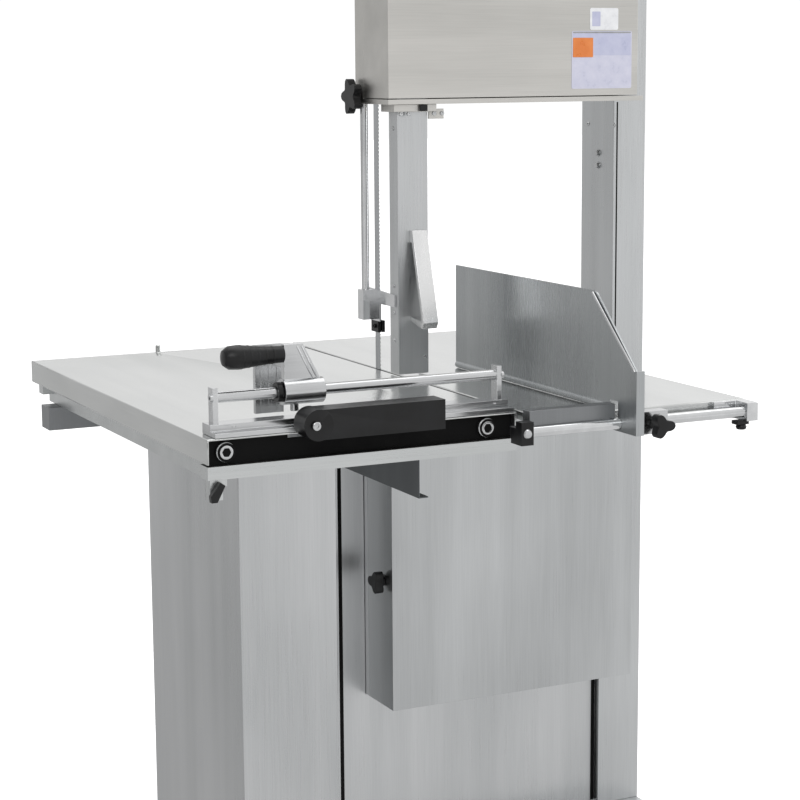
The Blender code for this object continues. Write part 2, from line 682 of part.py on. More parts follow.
def build_guard():
    post = pan("guard_post", (post_left, POST_FRONT, POST_FOOT),
               (post_left + POST_WIDTH, POST_FRONT + POST_DEPTH, POST_TOP),
               BRUSHED, ("+Y", "-Z", "+Z"), PLATE)
    rod = cylinder("guard_rod", (rod_x, rod_y, 0.0), "Z", ROD_RADIUS, GUIDE_HEIGHT + 0.008, POST_TOP,
                   CHROME, 24)

    # bracket: a plate beside the post with a round lower corner, and a boss on the rod
    plate_x = post_left - GAP - PLATE / 2
    back, top = rod_y + 0.011, GUIDE_HEIGHT + 0.054
    corner = arc((back - 0.016, GUIDE_HEIGHT + 0.016), 0.016, 0, -90, 6)
    shape = [
        (POST_FRONT + 0.008, top - 0.004), (POST_FRONT + 0.008, top - 0.024), (rod_y - 0.030, top - 0.024),
        (rod_y - 0.030, GUIDE_HEIGHT),
    ] + corner[::-1] + [(back, top)]
    weld(rod, outline("bracket_plate", [shape], "YZ", (plate_x, 0.0, 0.0), PLATE, None))
    weld_box(rod, (rod_x - ROD_RADIUS - 0.003, rod_y - 0.011, GUIDE_HEIGHT + 0.002),
             (plate_x + 0.001, rod_y + 0.0105, top - 0.002))

    guide = box("upper_blade_guide", (blade_x - 0.0065, blade_y - 0.014, GUIDE_HEIGHT - 0.020),
                (blade_x + 0.0065, blade_y + 0.0135, GUIDE_HEIGHT - GAP), BLACK)
    cut_box(guide, (blade_x - 0.0012, blade_y - 0.03, GUIDE_HEIGHT - 0.05),
            (blade_x + 0.0012, blade_y + BLADE_WIDTH / 2 + 0.001, GUIDE_HEIGHT + 0.02))

    # sheet-metal pull handle on the post's front, flaring out towards its lower end
    low, high, out = 0.082, 0.240, 0.050
    face = POST_FRONT - GAP
    side = [(face, high), (face, low + 0.010), (face - out + 0.006, low), (face - out, low + 0.010),
            (face - 0.010, high)]
    handle = outline("guard_handle", [[(y - face, z) for y, z in side]], "YZ",
                     (post_left + HANDLE_FROM_LEFT, face, 0.0), HANDLE_WIDTH, BRUSHED)
    inner = [(0.004, high - 0.020), (0.004, low + 0.016), (-out + 0.008, low + 0.012),
             (-0.008, high - 0.020)]
    hollow = outline("handle_hollow", [inner], "YZ", (post_left + HANDLE_FROM_LEFT - PLATE, face, 0.0),
                     HANDLE_WIDTH, None)
    cut(handle, hollow)

    # slide plate under the head that the post runs through
    bottom = THROAT_HEIGHT - GAP
    slide = box("guard_slide_plate", (post_left - 0.010, POST_FRONT - 0.0095, bottom - 0.012),
                (post_left + POST_WIDTH + 0.012, POST_FRONT + POST_DEPTH + 0.008, bottom), BRUSHED)
    cut_box(slide, (post_left - RUNNING, POST_FRONT - RUNNING, bottom - 0.03),
            (post_left + POST_WIDTH + RUNNING, POST_FRONT + POST_DEPTH + 0.001, bottom + 0.02))
    weld_box(slide, (post_left + POST_WIDTH + 0.004, POST_FRONT + 0.004, bottom - 0.024),
             (post_left + POST_WIDTH + 0.032, POST_FRONT + 0.007, bottom - 0.008))

    # clamp knob in the side of the head, its screw end against the rod
    knob_z = THROAT_HEIGHT + 0.012
    screw_y = rod_y - 0.001
    knob = outline("guard_lock_knob", [lobed(0.030, 0.012, 5, 40)], "YZ",
                   (head_left - 0.006 - 0.0065, screw_y, knob_z), 0.013, BLACK)
    weld_round(knob, (head_left, screw_y, knob_z), "X", 0.012, -0.009, -GAP * 2, 24)
    weld_round(knob, (head_left, screw_y, knob_z), "X", 0.0040, -0.009, SHEET + RUNNING - GAP, 16)
    carried("guard_slide_axis", (rod_x, rod_y, THROAT_HEIGHT), post, rod, guide, handle)
    carried("guard_lock_axis", (head_left, screw_y, knob_z), knob)


# ---------------------------------------------------------------- tables

def build_fixed_table():
    table = pan("fixed_table", (fixed_left, -FIXED_OVERHANG, -FIXED_APRON), (fixed_right, TABLE_DEPTH, 0.0),
        POLISHED, ("-Z",), PLATE)
    top, bottom = -PLATE / 2, CABINET_TOP + GAP
    inset = PLATE + 0.010
    front = LEG_FRONT
    frame = box("table_frame", (fixed_left + inset, front, bottom),
                (fixed_right - inset, CABINET_BACK, top), None)
    cut_box(frame, (fixed_left + inset + 0.036, front + 0.036, bottom - 0.02),
            (fixed_right - inset - 0.036, CABINET_BACK - 0.036, top + 0.02))
    weld(table, frame)
    guide = box("lower_blade_guide", (blade_x - 0.009, blade_y - 0.016, CABINET_TOP + GAP),
                (blade_x + 0.009, blade_y + 0.014, CABINET_TOP + 0.014), BLACK)
    cut_box(guide, (blade_x - 0.0012, blade_y - 0.03, CABINET_TOP - 0.02),
            (blade_x + 0.0012, blade_y + BLADE_WIDTH / 2 + 0.001, CABINET_TOP + 0.03))


def build_rails():
    left, right = 0.028, 0.036
    frame_back = CABINET_BACK + 0.018
    # welded rail frame: front lip, left bar, rear bar
    frame = box("rail_frame", (0.0, 0.0, LIP_BOTTOM), (SLIDE_WIDTH, 0.030, LIP_TOP), POLISHED)
    weld_box(frame, (left, 0.020, -0.072), (right, frame_back, LIP_TOP + 0.0005))
    weld_box(frame, (left - 0.018, frame_back - 0.024, CABINET_TOP + GAP),
             (SLIDE_WIDTH - 0.012, frame_back, -0.008))
    weld_box(frame, (SLIDE_WIDTH - 0.0035, 0.0, LIP_BOTTOM + 0.004), (SLIDE_WIDTH, 0.026, -PLATE - GAP))
    x, y, z = LEVER_PIVOT
    weld_box(frame, (0.003, y + GAP, z - 0.018), (0.022, 0.020, LIP_BOTTOM + 0.004))
    cut_round(frame, LEVER_PIVOT, "Y", 0.0025 + RUNNING, -0.002, 0.013, 12)
    plate = box("slot_plate", (0.004, 0.0105, LIP_TOP + GAP), (SLIDE_WIDTH - 0.004, 0.0185, -PLATE - GAP),
                RUBBER)
    # notch for the push bar, which goes back with the table
    cut_box(plate, (BAR_LEFT - 0.027, 0.0, BAR_BOTTOM - 0.0025), (BAR_RIGHT + 0.006, 0.030, 0.0))
    for name, x in (("rail_left", RAIL_LEFT), ("rail_right", RAIL_RIGHT)):
        profile = [
            (0.0, frame_back - 0.006), (RAIL_RADIUS, frame_back - 0.006), (RAIL_RADIUS, 0.0188),
            (0.006, 0.0188), (0.006, 0.0102), (0.0145, 0.0102), (0.0145, 0.004), (0.012, 0.0015), (0.0,
                    0.0015),
        ]
        turned(name, profile, (x, 0.0, -RAIL_DROP), "Y", CHROME, 32)
        cut_round(plate, (x, 0.0, -RAIL_DROP), "Y", 0.006 + GAP, 0.0, 0.03, 24)
        cut_round(frame, (x, 0.0, -RAIL_DROP), "Y", RAIL_RADIUS + GAP, frame_back - 0.04,
                  frame_back - 0.005, 32)

    beam_right = 0.347
    beam = pan("rail_beam", (beam_right - BEAM_WIDTH, 0.012, -0.118),
               (beam_right, LEG_FRONT - GAP, LIP_BOTTOM - GAP),
               BRUSHED, ("+X", "-Y"), SHEET)
    cross = pan("rear_cross_beam", (0.005, CABINET_BACK - 0.055, -0.112),
                (LEG_LEFT - GAP, CABINET_BACK - 0.010, -0.0723),
                BRUSHED, ("+Y",), SHEET)
    return beam, cross


def build_sliding_table():
    top = pan("sliding_table", (0.0, 0.0, -SLIDE_APRON), (SLIDE_WIDTH, TABLE_DEPTH, 0.0),
              POLISHED, ("-Z", "-Y", "+X"), PLATE)
    pieces = [top]
    weld_round(top, (0.229, TABLE_DEPTH - 0.014, 0.0), "Z", 0.0045, -0.001, 0.014, 16)
    length = TABLE_DEPTH - SLIDE_TRAVEL - 0.100
    for name, x in (("bearing_left", RAIL_LEFT), ("bearing_right", RAIL_RIGHT)):
        block = box(name, (x - 0.019, 0.045, -RAIL_DROP - 0.0155),
                    (x + 0.019, 0.045 + length, -PLATE - GAP), CAST)
        cut_round(block, (x, 0.0, -RAIL_DROP), "Y", RAIL_RADIUS + RUNNING, 0.0, length + 0.10, 32)
        pieces.append(block)

    # stepped strip along the front edge, with the two posts of the pusher's rod
    right = post_left - GUARD_CLEAR
    step = [
        (0.0, GAP), (STRIP_DEPTH, GAP), (STRIP_DEPTH, STRIP_HEIGHT), (0.020, STRIP_HEIGHT),
        (0.020, 0.007), (0.0, 0.007),
    ]
    middle = (STRIP_LEFT + right) / 2
    strip = outline("pusher_strip", [step], "YZ", (middle, 0.0, 0.0), right - STRIP_LEFT, POLISHED)
    for low in (STRIP_LEFT + 0.006, right - 0.0175):
        weld_box(strip, (low, PUSH_ROD_Y - 0.009, STRIP_HEIGHT - 0.004),
                 (low + 0.008, PUSH_ROD_Y + 0.009, PUSH_ROD_Z + 0.014))
    weld_round(strip, (0.0, PUSH_ROD_Y, PUSH_ROD_Z), "X", PUSH_ROD_RADIUS, STRIP_LEFT + 0.005,
               right - 0.007, 24)
    bar = box("push_bar", (BAR_LEFT, -BAR_DEPTH, BAR_BOTTOM), (BAR_RIGHT, -GAP, BAR_TOP), BLACK)
    bar_z = (BAR_TOP + BAR_BOTTOM) / 2
    weld_round(bar, (BAR_LEFT, 0.0, bar_z), "Y", (BAR_TOP - BAR_BOTTOM) / 2 + 0.001, -BAR_DEPTH - 0.001,
               -GAP * 2, 32)
    weld_round(bar, (BAR_LEFT, 0.0, bar_z), "Y", 0.006, -BAR_DEPTH - 0.004, -BAR_DEPTH + 0.002, 20)
    pieces += [strip, bar]
    carried("table_slide_axis", (0.0, 0.0, 0.0), *pieces)


def build_pusher():
    centre = (COLLAR_LEFT, PUSH_ROD_Y, PUSH_ROD_Z)
    bore = PUSH_ROD_RADIUS + RUNNING
    stop = ring("pusher_stop_ring", centre, "X", 0.0145, bore, -0.0085, -0.0015, BLACK)
    collar = cylinder("pusher_arm", centre, "X", COLLAR_RADIUS, 0.0, COLLAR_LENGTH, POLISHED, 32)
    weld_round(collar, (COLLAR_LEFT + 0.020, PUSH_ROD_Y, PUSH_ROD_Z), "Z", 0.006, -0.028, -0.014, 16)

    # arm: a folded plate standing on the collar, narrowing upwards
    top = PUSH_ROD_Z + 0.068
    foot = PUSH_ROD_Z + COLLAR_RADIUS - 0.003
    shape = [(0.003, foot), (COLLAR_LENGTH - 0.003, foot), (COLLAR_LENGTH * 0.52, top), (0.003, top)]
    weld(collar, outline("arm_plate", [shape], "XZ", (COLLAR_LEFT, PUSH_ROD_Y, 0.0), 0.012, None))
    weld_box(collar, (COLLAR_LEFT + 0.004, PUSH_ROD_Y - 0.003, top - 0.034),
             (COLLAR_LEFT + 0.016, PUSH_ROD_Y + 0.075, top - 0.018))
    cut_round(collar, centre, "X", bore, -0.02, COLLAR_LENGTH + 0.02)

    plate_y = PUSH_ROD_Y + 0.072
    plate = box("pusher_plate", (COLLAR_LEFT - 0.012, plate_y - 0.004, 0.012),
                (COLLAR_LEFT + 0.032, plate_y + 0.004, 0.112), POLISHED)
    cut_box(plate, (COLLAR_LEFT + 0.004 - GAP, plate_y - 0.02, top - 0.034 - GAP),
            (COLLAR_LEFT + 0.016 + GAP, plate_y + 0.02, top - 0.018 + GAP))

    grip_z = top - 0.014
    profile = [
        (0.0, -0.0003), (0.0120, -0.0003), (0.0128, -0.024), (0.0152, -0.048), (0.0175, -0.068),
        (0.0165, -0.082), (0.0110, -0.090), (0.0, -0.092),
    ]
    grip = turned("pusher_grip", profile, (COLLAR_LEFT + 0.003, PUSH_ROD_Y, grip_z), "X", BLACK, 32)
    carried("pusher_slide_axis", centre, stop)
    carried("pusher_swing_axis", centre, collar, plate, grip)


def build_lock_lever():
    x, y, z = pivot = LEVER_PIVOT
    shape = [(0.006, 0.004), (-0.001, 0.009), (-0.0160, -0.010), (-0.0150, -0.019), (-0.006, -0.019)]
    lever = outline("table_lock_lever", [shape], "XZ", (x + 0.003, y - GAP - 0.0045, z), 0.009, BLACK)
    weld_round(lever, pivot, "Y", 0.0025, -0.002, 0.012, 12)
    carried("table_lock_axis", pivot, lever)


# ---------------------------------------------------------------- fence

def build_fence():
    half = PLATE / 2
    skin = [
        (FENCE_BACK, HEM_RADIUS + GAP * 2), (FENCE_BACK, FENCE_TOP), (FENCE_TOP_FRONT + 0.020, FENCE_TOP),
        *arc((FENCE_TOP_FRONT + 0.018, FENCE_TOP - 0.024), 0.024, 90, 135, 5),
        (FENCE_FRONT, FENCE_SHOULDER), (FENCE_FRONT, FENCE_HANG), (-FIXED_OVERHANG - 0.004, FENCE_HANG),
        (-FIXED_OVERHANG - 0.004, HEM_RADIUS + GAP * 2),
    ]
    plate = outline("fence_plate", [skin], "YZ", (fence_x, 0.0, 0.0), PLATE, BRUSHED)
    weld_box(plate, (fence_x - half, FENCE_FRONT - FLANGE_PROUD, FENCE_HANG),
             (fence_x + FENCE_FLANGE, FENCE_FRONT + PLATE, FENCE_SHOULDER))
    cut_round(plate, (fence_x, FENCE_ROD_Y, fence_rod_z), "X", FENCE_ROD_RADIUS + RUNNING, -0.02, 0.02, 24)
    # the notch that the fixed guide bar passes through
    notch_y = -FIXED_OVERHANG - GAP - GUIDE_BAR_DEPTH - 0.0012
    cut_box(plate, (fence_x - 0.02, notch_y, GUIDE_BAR_BOTTOM - 0.0015),
            (fence_x + 0.005, -FIXED_OVERHANG + 0.002, GUIDE_BAR_TOP + 0.003))
    weld_round(plate, (fence_x, 0.0, HEM_RADIUS + GAP * 2), "Y", HEM_RADIUS, -FIXED_OVERHANG + 0.006,
               FENCE_BACK - 0.004, 24)

    block_left = fence_x + half + GAP + CLAMP_FROM_FENCE
    clamp = box("fence_clamp", (block_left, FENCE_ROD_Y - CLAMP_SIZE / 2, fence_rod_z - CLAMP_SIZE / 2),
                (block_left + CLAMP_WIDTH, FENCE_ROD_Y + CLAMP_SIZE / 2 - 0.006,
                 fence_rod_z + CLAMP_SIZE / 2), POLISHED)
    weld_round(clamp, (fence_x, FENCE_ROD_Y, fence_rod_z), "X", 0.0115, half + GAP,
               block_left - fence_x + 0.004, 24)
    cut_round(clamp, (fence_x, FENCE_ROD_Y, fence_rod_z), "X", FENCE_ROD_RADIUS + RUNNING, -0.02, 0.10, 24)
    # its upper back corner is cut away to pass below the guide bar
    cut_box(clamp, (fence_x - 0.01, notch_y, GUIDE_BAR_BOTTOM - 0.001),
            (fence_x + 0.10, -FIXED_OVERHANG, 0.05))
    knob_x = block_left + CLAMP_WIDTH / 2
    stem = FENCE_ROD_Y - CLAMP_SIZE / 2
    knob = outline("fence_knob", [lobed(KNOB_RADIUS, 0.010, 3, 30)], "XZ",
                   (knob_x, stem - KNOB_STEM - KNOB_THICKNESS / 2, fence_rod_z - 0.002), KNOB_THICKNESS,
                   BLACK)
    weld_round(knob, (knob_x, stem, fence_rod_z - 0.002), "Y", 0.008, -KNOB_STEM - 0.004, -GAP * 2, 20)
    carried("fence_slide_axis", (fence_x, FENCE_ROD_Y, fence_rod_z), plate, clamp)
    carried("fence_knob_axis", (knob_x, stem, fence_rod_z - 0.002), knob)

    # fixed rod in front of the table, with a holder at each end and the guide bar
    rod_left, rod_right = fixed_left - ROD_REACH, fixed_right - 0.004
    rod = cylinder("fence_rod", (0.0, FENCE_ROD_Y, fence_rod_z), "X", FENCE_ROD_RADIUS, rod_left,
                   rod_right, CHROME, 24)
    edge = -FIXED_OVERHANG - GAP
    left = box("rod_holder_left", (rod_left - 0.004, FENCE_ROD_Y - 0.013, fence_rod_z - 0.017),
               (rod_left + 0.016, edge - GUIDE_BAR_DEPTH - GAP, fence_rod_z + 0.017), BLACK)
    weld_box(left, (rod_left - 0.004, FENCE_ROD_Y, fence_rod_z - 0.017),
             (rod_left + 0.016, edge - 0.006, GUIDE_BAR_BOTTOM - GAP))
    weld_box(left, (rod_left - 0.003, edge - 0.009, fence_rod_z - 0.006),
             (fixed_left + 0.024, edge, GUIDE_BAR_BOTTOM - GAP))
    cut_round(left, (0.0, FENCE_ROD_Y, fence_rod_z), "X", FENCE_ROD_RADIUS + GAP, rod_left - GAP,
              rod_left + 0.10, 24)
    weld_box(rod, (rod_right - 0.016, FENCE_ROD_Y - 0.013, fence_rod_z - 0.013),
             (rod_right + 0.004, edge, -0.001))
    weld_box(rod, (rod_right - 0.056, edge - 0.008, -0.024), (rod_right - 0.010, edge, -0.001))
    box("fence_guide_bar", (fixed_left - GUIDE_BAR_REACH, edge - GUIDE_BAR_DEPTH, GUIDE_BAR_BOTTOM),
        (fence_x - half - GUIDE_BAR_SHORT, edge, GUIDE_BAR_TOP), BRUSHED)


# ---------------------------------------------------------------- controls

def build_controls():
    face = column_left
    middle_y = column_back + SWITCH_WIDTH
    top = SWITCH_BOTTOM + SWITCH_HEIGHT
    housing = pan("switch_box", (face, middle_y - SWITCH_WIDTH / 2, SWITCH_BOTTOM),
                  (face + SWITCH_DEPTH, middle_y + SWITCH_WIDTH / 2, top),
                  BRUSHED, ("-X",), SHEET)
    for name, z, radius, look in (("start_button", top - 0.040, BUTTON_RADIUS, GREEN),
                                  ("stop_button", SWITCH_BOTTOM + 0.042, BUTTON_RADIUS * 1.3, RED)):
        stem = BUTTON_RADIUS * 0.7
        cut_round(housing, (face + SWITCH_DEPTH, middle_y, z), "X", stem + RUNNING, -0.01, 0.01, 24)
        profile = [
            (0.0, BUTTON_STANDS), (radius - 0.002, BUTTON_STANDS), (radius, BUTTON_STANDS - 0.002),
            (radius, BUTTON_TRAVEL + GAP), (stem, BUTTON_TRAVEL + GAP), (stem, -0.012), (0.0, -0.012),
        ]
        button = turned(name, profile, (face + SWITCH_DEPTH, middle_y, z), "X", look, 24)
        carried(name + "_axis", (face + SWITCH_DEPTH, middle_y, z), button)


def build():
    build_base()
    build_cabinets()
    column = build_column()
    build_housings()
    head_bottom = THROAT_HEIGHT + SHELF + 0.0015
    build_door("head_door", head_bottom, head_top, upper_z, True)
    build_door("lower_cover", housing_bottom, HOUSING_TOP, COVER_LATCH_Z, False)
    for z in hinge_places(head_bottom, head_top) + hinge_places(housing_bottom, HOUSING_TOP):
        add_hinge(column, z)
    build_blade()
    build_upper_wheel()
    build_drive()
    build_guard()
    build_fixed_table()
    build_rails()
    build_sliding_table()
    build_pusher()
    build_lock_lever()
    build_fence()
    build_controls()
    parts = [made for made in SAW.objects if made.type == "MESH"]
    for made in parts:
        smooth(made)
    print("pieces:", len(parts))


build()
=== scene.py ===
import json
import math

import bmesh
import bpy
from mathutils import Matrix, Vector


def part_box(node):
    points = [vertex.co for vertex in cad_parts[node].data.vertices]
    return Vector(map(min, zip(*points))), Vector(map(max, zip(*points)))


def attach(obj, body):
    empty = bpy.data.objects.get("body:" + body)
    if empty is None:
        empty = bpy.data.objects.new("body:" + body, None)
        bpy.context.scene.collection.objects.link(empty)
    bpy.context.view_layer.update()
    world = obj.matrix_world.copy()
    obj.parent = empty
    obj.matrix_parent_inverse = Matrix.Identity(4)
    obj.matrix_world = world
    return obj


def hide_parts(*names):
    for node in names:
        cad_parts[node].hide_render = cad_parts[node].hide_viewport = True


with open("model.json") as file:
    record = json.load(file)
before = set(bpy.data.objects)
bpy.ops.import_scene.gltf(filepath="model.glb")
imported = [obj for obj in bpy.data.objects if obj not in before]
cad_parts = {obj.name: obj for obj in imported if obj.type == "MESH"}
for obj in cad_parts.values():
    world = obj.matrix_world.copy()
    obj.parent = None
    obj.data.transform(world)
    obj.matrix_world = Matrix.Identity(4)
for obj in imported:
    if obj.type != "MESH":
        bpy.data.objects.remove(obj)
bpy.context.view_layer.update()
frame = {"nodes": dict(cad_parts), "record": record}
print("frame loaded:", len(frame["nodes"]), "nodes")


# small helpers for colours and shader nodes

def linearColour(hexCode):
    parts = [int(hexCode[i:i + 2], 16) / 255 for i in (1, 3, 5)]
    return tuple(p / 12.92 if p <= 0.04045 else ((p + 0.055) / 1.055) ** 2.4 for p in parts) + (1.0,)


def addNode(tree, kind, settings=None, inputs=None, stops=()):
    # stops are the (place, hex colour) pairs of a colour band
    node = tree.nodes.new(kind)
    for key, value in (settings or {}).items():
        setattr(node, key, value)
    for key, value in (inputs or {}).items():
        if isinstance(value, tuple) and len(value) == 2 and isinstance(value[0], bpy.types.Node):
            tree.links.new(value[0].outputs[value[1]], node.inputs[key])
        else:
            node.inputs[key].default_value = value
    for element, (spot, hexCode) in zip(node.color_ramp.elements if stops else (), stops):
        element.position = spot
        element.color = linearColour(hexCode)
    return node


def newMaterial(name):
    material = bpy.data.materials.new(name)
    material.use_nodes = True
    tree = material.node_tree
    tree.nodes.clear()
    return material, tree, addNode(tree, "ShaderNodeTexCoord")


def finishMaterial(tree, inputs):
    shader = addNode(tree, "ShaderNodeBsdfPrincipled", inputs=inputs)
    addNode(tree, "ShaderNodeOutputMaterial", inputs={"Surface": (shader, "BSDF")})


def layGrain(tree, coords, scale, detail=3.0, rough=0.6):
    # a pattern sized in cycles per metre along each axis
    mapped = addNode(tree, "ShaderNodeMapping", inputs={"Vector": (coords, "Object"), "Scale": scale})
    return addNode(tree, "ShaderNodeTexNoise", inputs={
        "Vector": (mapped, "Vector"), "Scale": 1.0, "Detail": detail, "Roughness": rough})


def between(source, low, high, fromLow=0.3, fromHigh=0.7):
    return {"Value": source, "From Min": fromLow, "From Max": fromHigh, "To Min": low, "To Max": high}


def shared(share, first, second):
    return {0: share, 2: first, 3: second}


# finishes

def brushedStainless(name, grain, dark="#bcbebf", light="#d6d7d8", rough=(0.27, 0.40), cloud=2.6):
    # 304 stainless sheet, belt-brushed: one-way scratches about 0.2 mm apart, drawn 1.6 mm apart to show,
    # soft bands about 50 mm wide, partly polishing bands and partly painted reflection streaks, and wide
    # clouds from rolling and wiping
    brush = {"across": 620.0, "along": 9.0, "bandAcross": 21.0, "bandAlong": 0.8, "cloudAlong": 0.45}
    material, tree, coords = newMaterial(name)
    lineScale = tuple(brush["along"] if axis == grain else brush["across"] for axis in "XYZ")
    fineScale = tuple(brush["along"] * 4 if axis == grain else brush["across"] * 3 for axis in "XYZ")
    cloudScale = tuple(cloud * brush["cloudAlong"] if axis == grain else cloud for axis in "XYZ")
    bandScale = tuple(brush["bandAlong"] if axis == grain else brush["bandAcross"] for axis in "XYZ")
    lines = layGrain(tree, coords, lineScale)
    fine = layGrain(tree, coords, fineScale, 1.0)
    patches = layGrain(tree, coords, cloudScale, 4.0, 0.5)
    # the bands go into the colour: partly polishing bands, partly painted reflection streaks
    bands = layGrain(tree, coords, bandScale, 2.0, 0.5)
    single = {"data_type": "FLOAT"}
    streaks = addNode(tree, "ShaderNodeMix", single, shared(0.55, (lines, "Fac"), (bands, "Fac")))
    tone = addNode(tree, "ShaderNodeMix", single, shared(0.58, (streaks, 0), (patches, "Fac")))
    colour = addNode(tree, "ShaderNodeValToRGB", inputs={"Fac": (tone, 0)},
                     stops=[(0.37, dark), (0.63, light)])
    blur = addNode(tree, "ShaderNodeMix", single, shared(0.55, (lines, "Fac"), (patches, "Fac")))
    roughness = addNode(tree, "ShaderNodeMapRange", inputs=between((blur, 0), rough[0], rough[1], 0.38, 0.62))
    height = addNode(tree, "ShaderNodeMix", single, shared(0.4, (lines, "Fac"), (fine, "Fac")))
    scratches = addNode(tree, "ShaderNodeBump", inputs={
        "Strength": 0.07, "Distance": 0.0004, "Height": (height, 0)})
    waves = addNode(tree, "ShaderNodeBump", inputs={
        "Strength": 0.30, "Distance": 0.006, "Height": (patches, "Fac"), "Normal": (scratches, "Normal")})
    finishMaterial(tree, {"Base Color": (colour, "Color"), "Metallic": 1.0,
                          "Roughness": (roughness, "Result"), "Normal": (waves, "Normal")})
    return material


def chromedSteel(name):
    # hard chrome on ground bar: mirror-like, with grinding marks near 4 mm and broad faint toning
    material, tree, coords = newMaterial(name)
    marks = layGrain(tree, coords, (240.0, 240.0, 240.0), 2.0)
    patches = layGrain(tree, coords, (22.0, 22.0, 22.0), 3.0)
    colour = addNode(tree, "ShaderNodeValToRGB", inputs={"Fac": (patches, "Fac")},
                     stops=[(0.3, "#c9cacb"), (0.7, "#dadbdc")])
    roughness = addNode(tree, "ShaderNodeMapRange", inputs=between((marks, "Fac"), 0.09, 0.17))
    finishMaterial(tree, {"Base Color": (colour, "Color"), "Metallic": 1.0,
                          "Roughness": (roughness, "Result")})
    return material


def castIron(name, dark="#4a4b4c", light="#6a6b6c", metallic=0.85):
    # sand-cast grey iron: a dull dark metal with grains near 1.4 mm and blotches near 70 mm
    material, tree, coords = newMaterial(name)
    grains = layGrain(tree, coords, (700.0, 700.0, 700.0), 4.0, 0.7)
    patches = layGrain(tree, coords, (14.0, 14.0, 14.0), 4.0)
    colour = addNode(tree, "ShaderNodeValToRGB", inputs={"Fac": (patches, "Fac")},
                     stops=[(0.3, dark), (0.7, light)])
    roughness = addNode(tree, "ShaderNodeMapRange", inputs=between((grains, "Fac"), 0.42, 0.66))
    bumps = addNode(tree, "ShaderNodeBump", inputs={
        "Strength": 0.35, "Distance": 0.0006, "Height": (grains, "Fac")})
    finishMaterial(tree, {"Base Color": (colour, "Color"), "Metallic": metallic,
                          "Roughness": (roughness, "Result"), "Normal": (bumps, "Normal")})
    return material


def mouldedPlastic(name, dark, light, rough=(0.34, 0.48), grain=900.0, strength=0.18, gloss=0.5):
    # moulded ABS or rubber, or thick enamel: a fine skin of 1 to 3 mm grains, a little worn in 26 mm patches
    material, tree, coords = newMaterial(name)
    texture = layGrain(tree, coords, (grain,) * 3, 3.0, 0.7)
    patches = layGrain(tree, coords, (38.0, 38.0, 38.0), 5.0, 0.6)
    colour = addNode(tree, "ShaderNodeValToRGB", inputs={"Fac": (patches, "Fac")},
                     stops=[(0.35, dark), (0.75, light)])
    roughness = addNode(tree, "ShaderNodeMapRange", inputs=between((patches, "Fac"), *rough))
    bumps = addNode(tree, "ShaderNodeBump", inputs={
        "Strength": strength, "Distance": 0.0003, "Height": (texture, "Fac")})
    finishMaterial(tree, {"Base Color": (colour, "Color"), "Roughness": (roughness, "Result"),
                          "Normal": (bumps, "Normal"), "Specular IOR Level": gloss})
    return material


def printedFilm(name, dark, light):
    # self-adhesive vinyl: flat, slightly glossy, toned unevenly over about 17 mm
    material, tree, coords = newMaterial(name)
    patches = layGrain(tree, coords, (60.0, 60.0, 60.0), 3.0)
    colour = addNode(tree, "ShaderNodeValToRGB", inputs={"Fac": (patches, "Fac")},
                     stops=[(0.3, dark), (0.7, light)])
    roughness = addNode(tree, "ShaderNodeMapRange", inputs=between((patches, "Fac"), 0.26, 0.36))
    finishMaterial(tree, {"Base Color": (colour, "Color"), "Roughness": (roughness, "Result")})
    return material


sheetUpright = brushedStainless("brushedStainlessUpright", "Z")
sheetAcross = brushedStainless("brushedStainlessAcross", "X", "#b5b4b0", "#cfcdc9")
sheetFence = brushedStainless("brushedStainlessFence", "Z", "#96999b", "#b4b7b8", (0.22, 0.34))
sheetTable = brushedStainless("polishedStainlessTable", "Y", "#bbbdbc", "#d3d4d3", (0.13, 0.24), 4.0)
sheetLip = brushedStainless("brushedStainlessLip", "X", "#b2b5b5", "#cdcfcf", (0.22, 0.34))
sheetCover = brushedStainless("brushedStainlessCover", "Z", "#afb1b2", "#cbcdce")
# guard handle: polished, and coloured lighter than the other steel as a painted reflection of the white
# surround on its front slope
handleSteel = brushedStainless("polishedHandleSteelPaintedReflection", "Z", "#dcdddd", "#f0f0f0", (0.16, 0.30), 9.0)
sheetColumn = brushedStainless("brushedStainlessColumn", "Z", "#b8babb", "#d1d3d4")
# rail beam: matt stainless with painted shade, its colour darkened for the shade it sits in
beamMatt = brushedStainless("stainlessBeamPaintedShade", "Z", "#55585a", "#6c6f71", (0.42, 0.55))
sheetDark = brushedStainless("shadedStainless", "Z", "#7b7d7f", "#909294", (0.30, 0.42))
barSteel = brushedStainless("machinedStainlessBar", "X", "#b6b7b8", "#cfd0d1", (0.16, 0.28), 9.0)
bladeSteel = brushedStainless("groundBladeSteel", "Z", "#a0a2a4", "#c2c4c6", (0.16, 0.28), 9.0)
chrome = chromedSteel("hardChromedSteel")
iron = castIron("greyCastIron")
blackAbs = mouldedPlastic("blackMouldedAbs", "#09090a", "#141517", (0.28, 0.42), gloss=0.36)
blackRubber = mouldedPlastic("blackRubber", "#040404", "#0a0a0b", (0.55, 0.72), 600.0, 0.25, 0.14)
motorEnamel = mouldedPlastic("greyMotorEnamel", "#3e464c", "#4b545b", (0.32, 0.44), 300.0, 0.12)
greenAbs = mouldedPlastic("greenMouldedAbs", "#0f7a35", "#168b41", (0.26, 0.36))
redAbs = mouldedPlastic("redMouldedAbs", "#b3161a", "#c82024", (0.26, 0.36))
filmWhite = printedFilm("whiteLabelFilm", "#e6e7ea", "#f2f3f5")
filmPale = printedFilm("paleLavenderLabelFilm", "#c9cadd", "#d6d6e6")
filmLavender = printedFilm("lavenderLabelFilm", "#b9bcd6", "#c8cae0")
filmOrange = printedFilm("orangeLabelFilm", "#dd7a35", "#ea8c48")
filmGrey = printedFilm("greyLabelFilm", "#8f9093", "#a5a6a9")

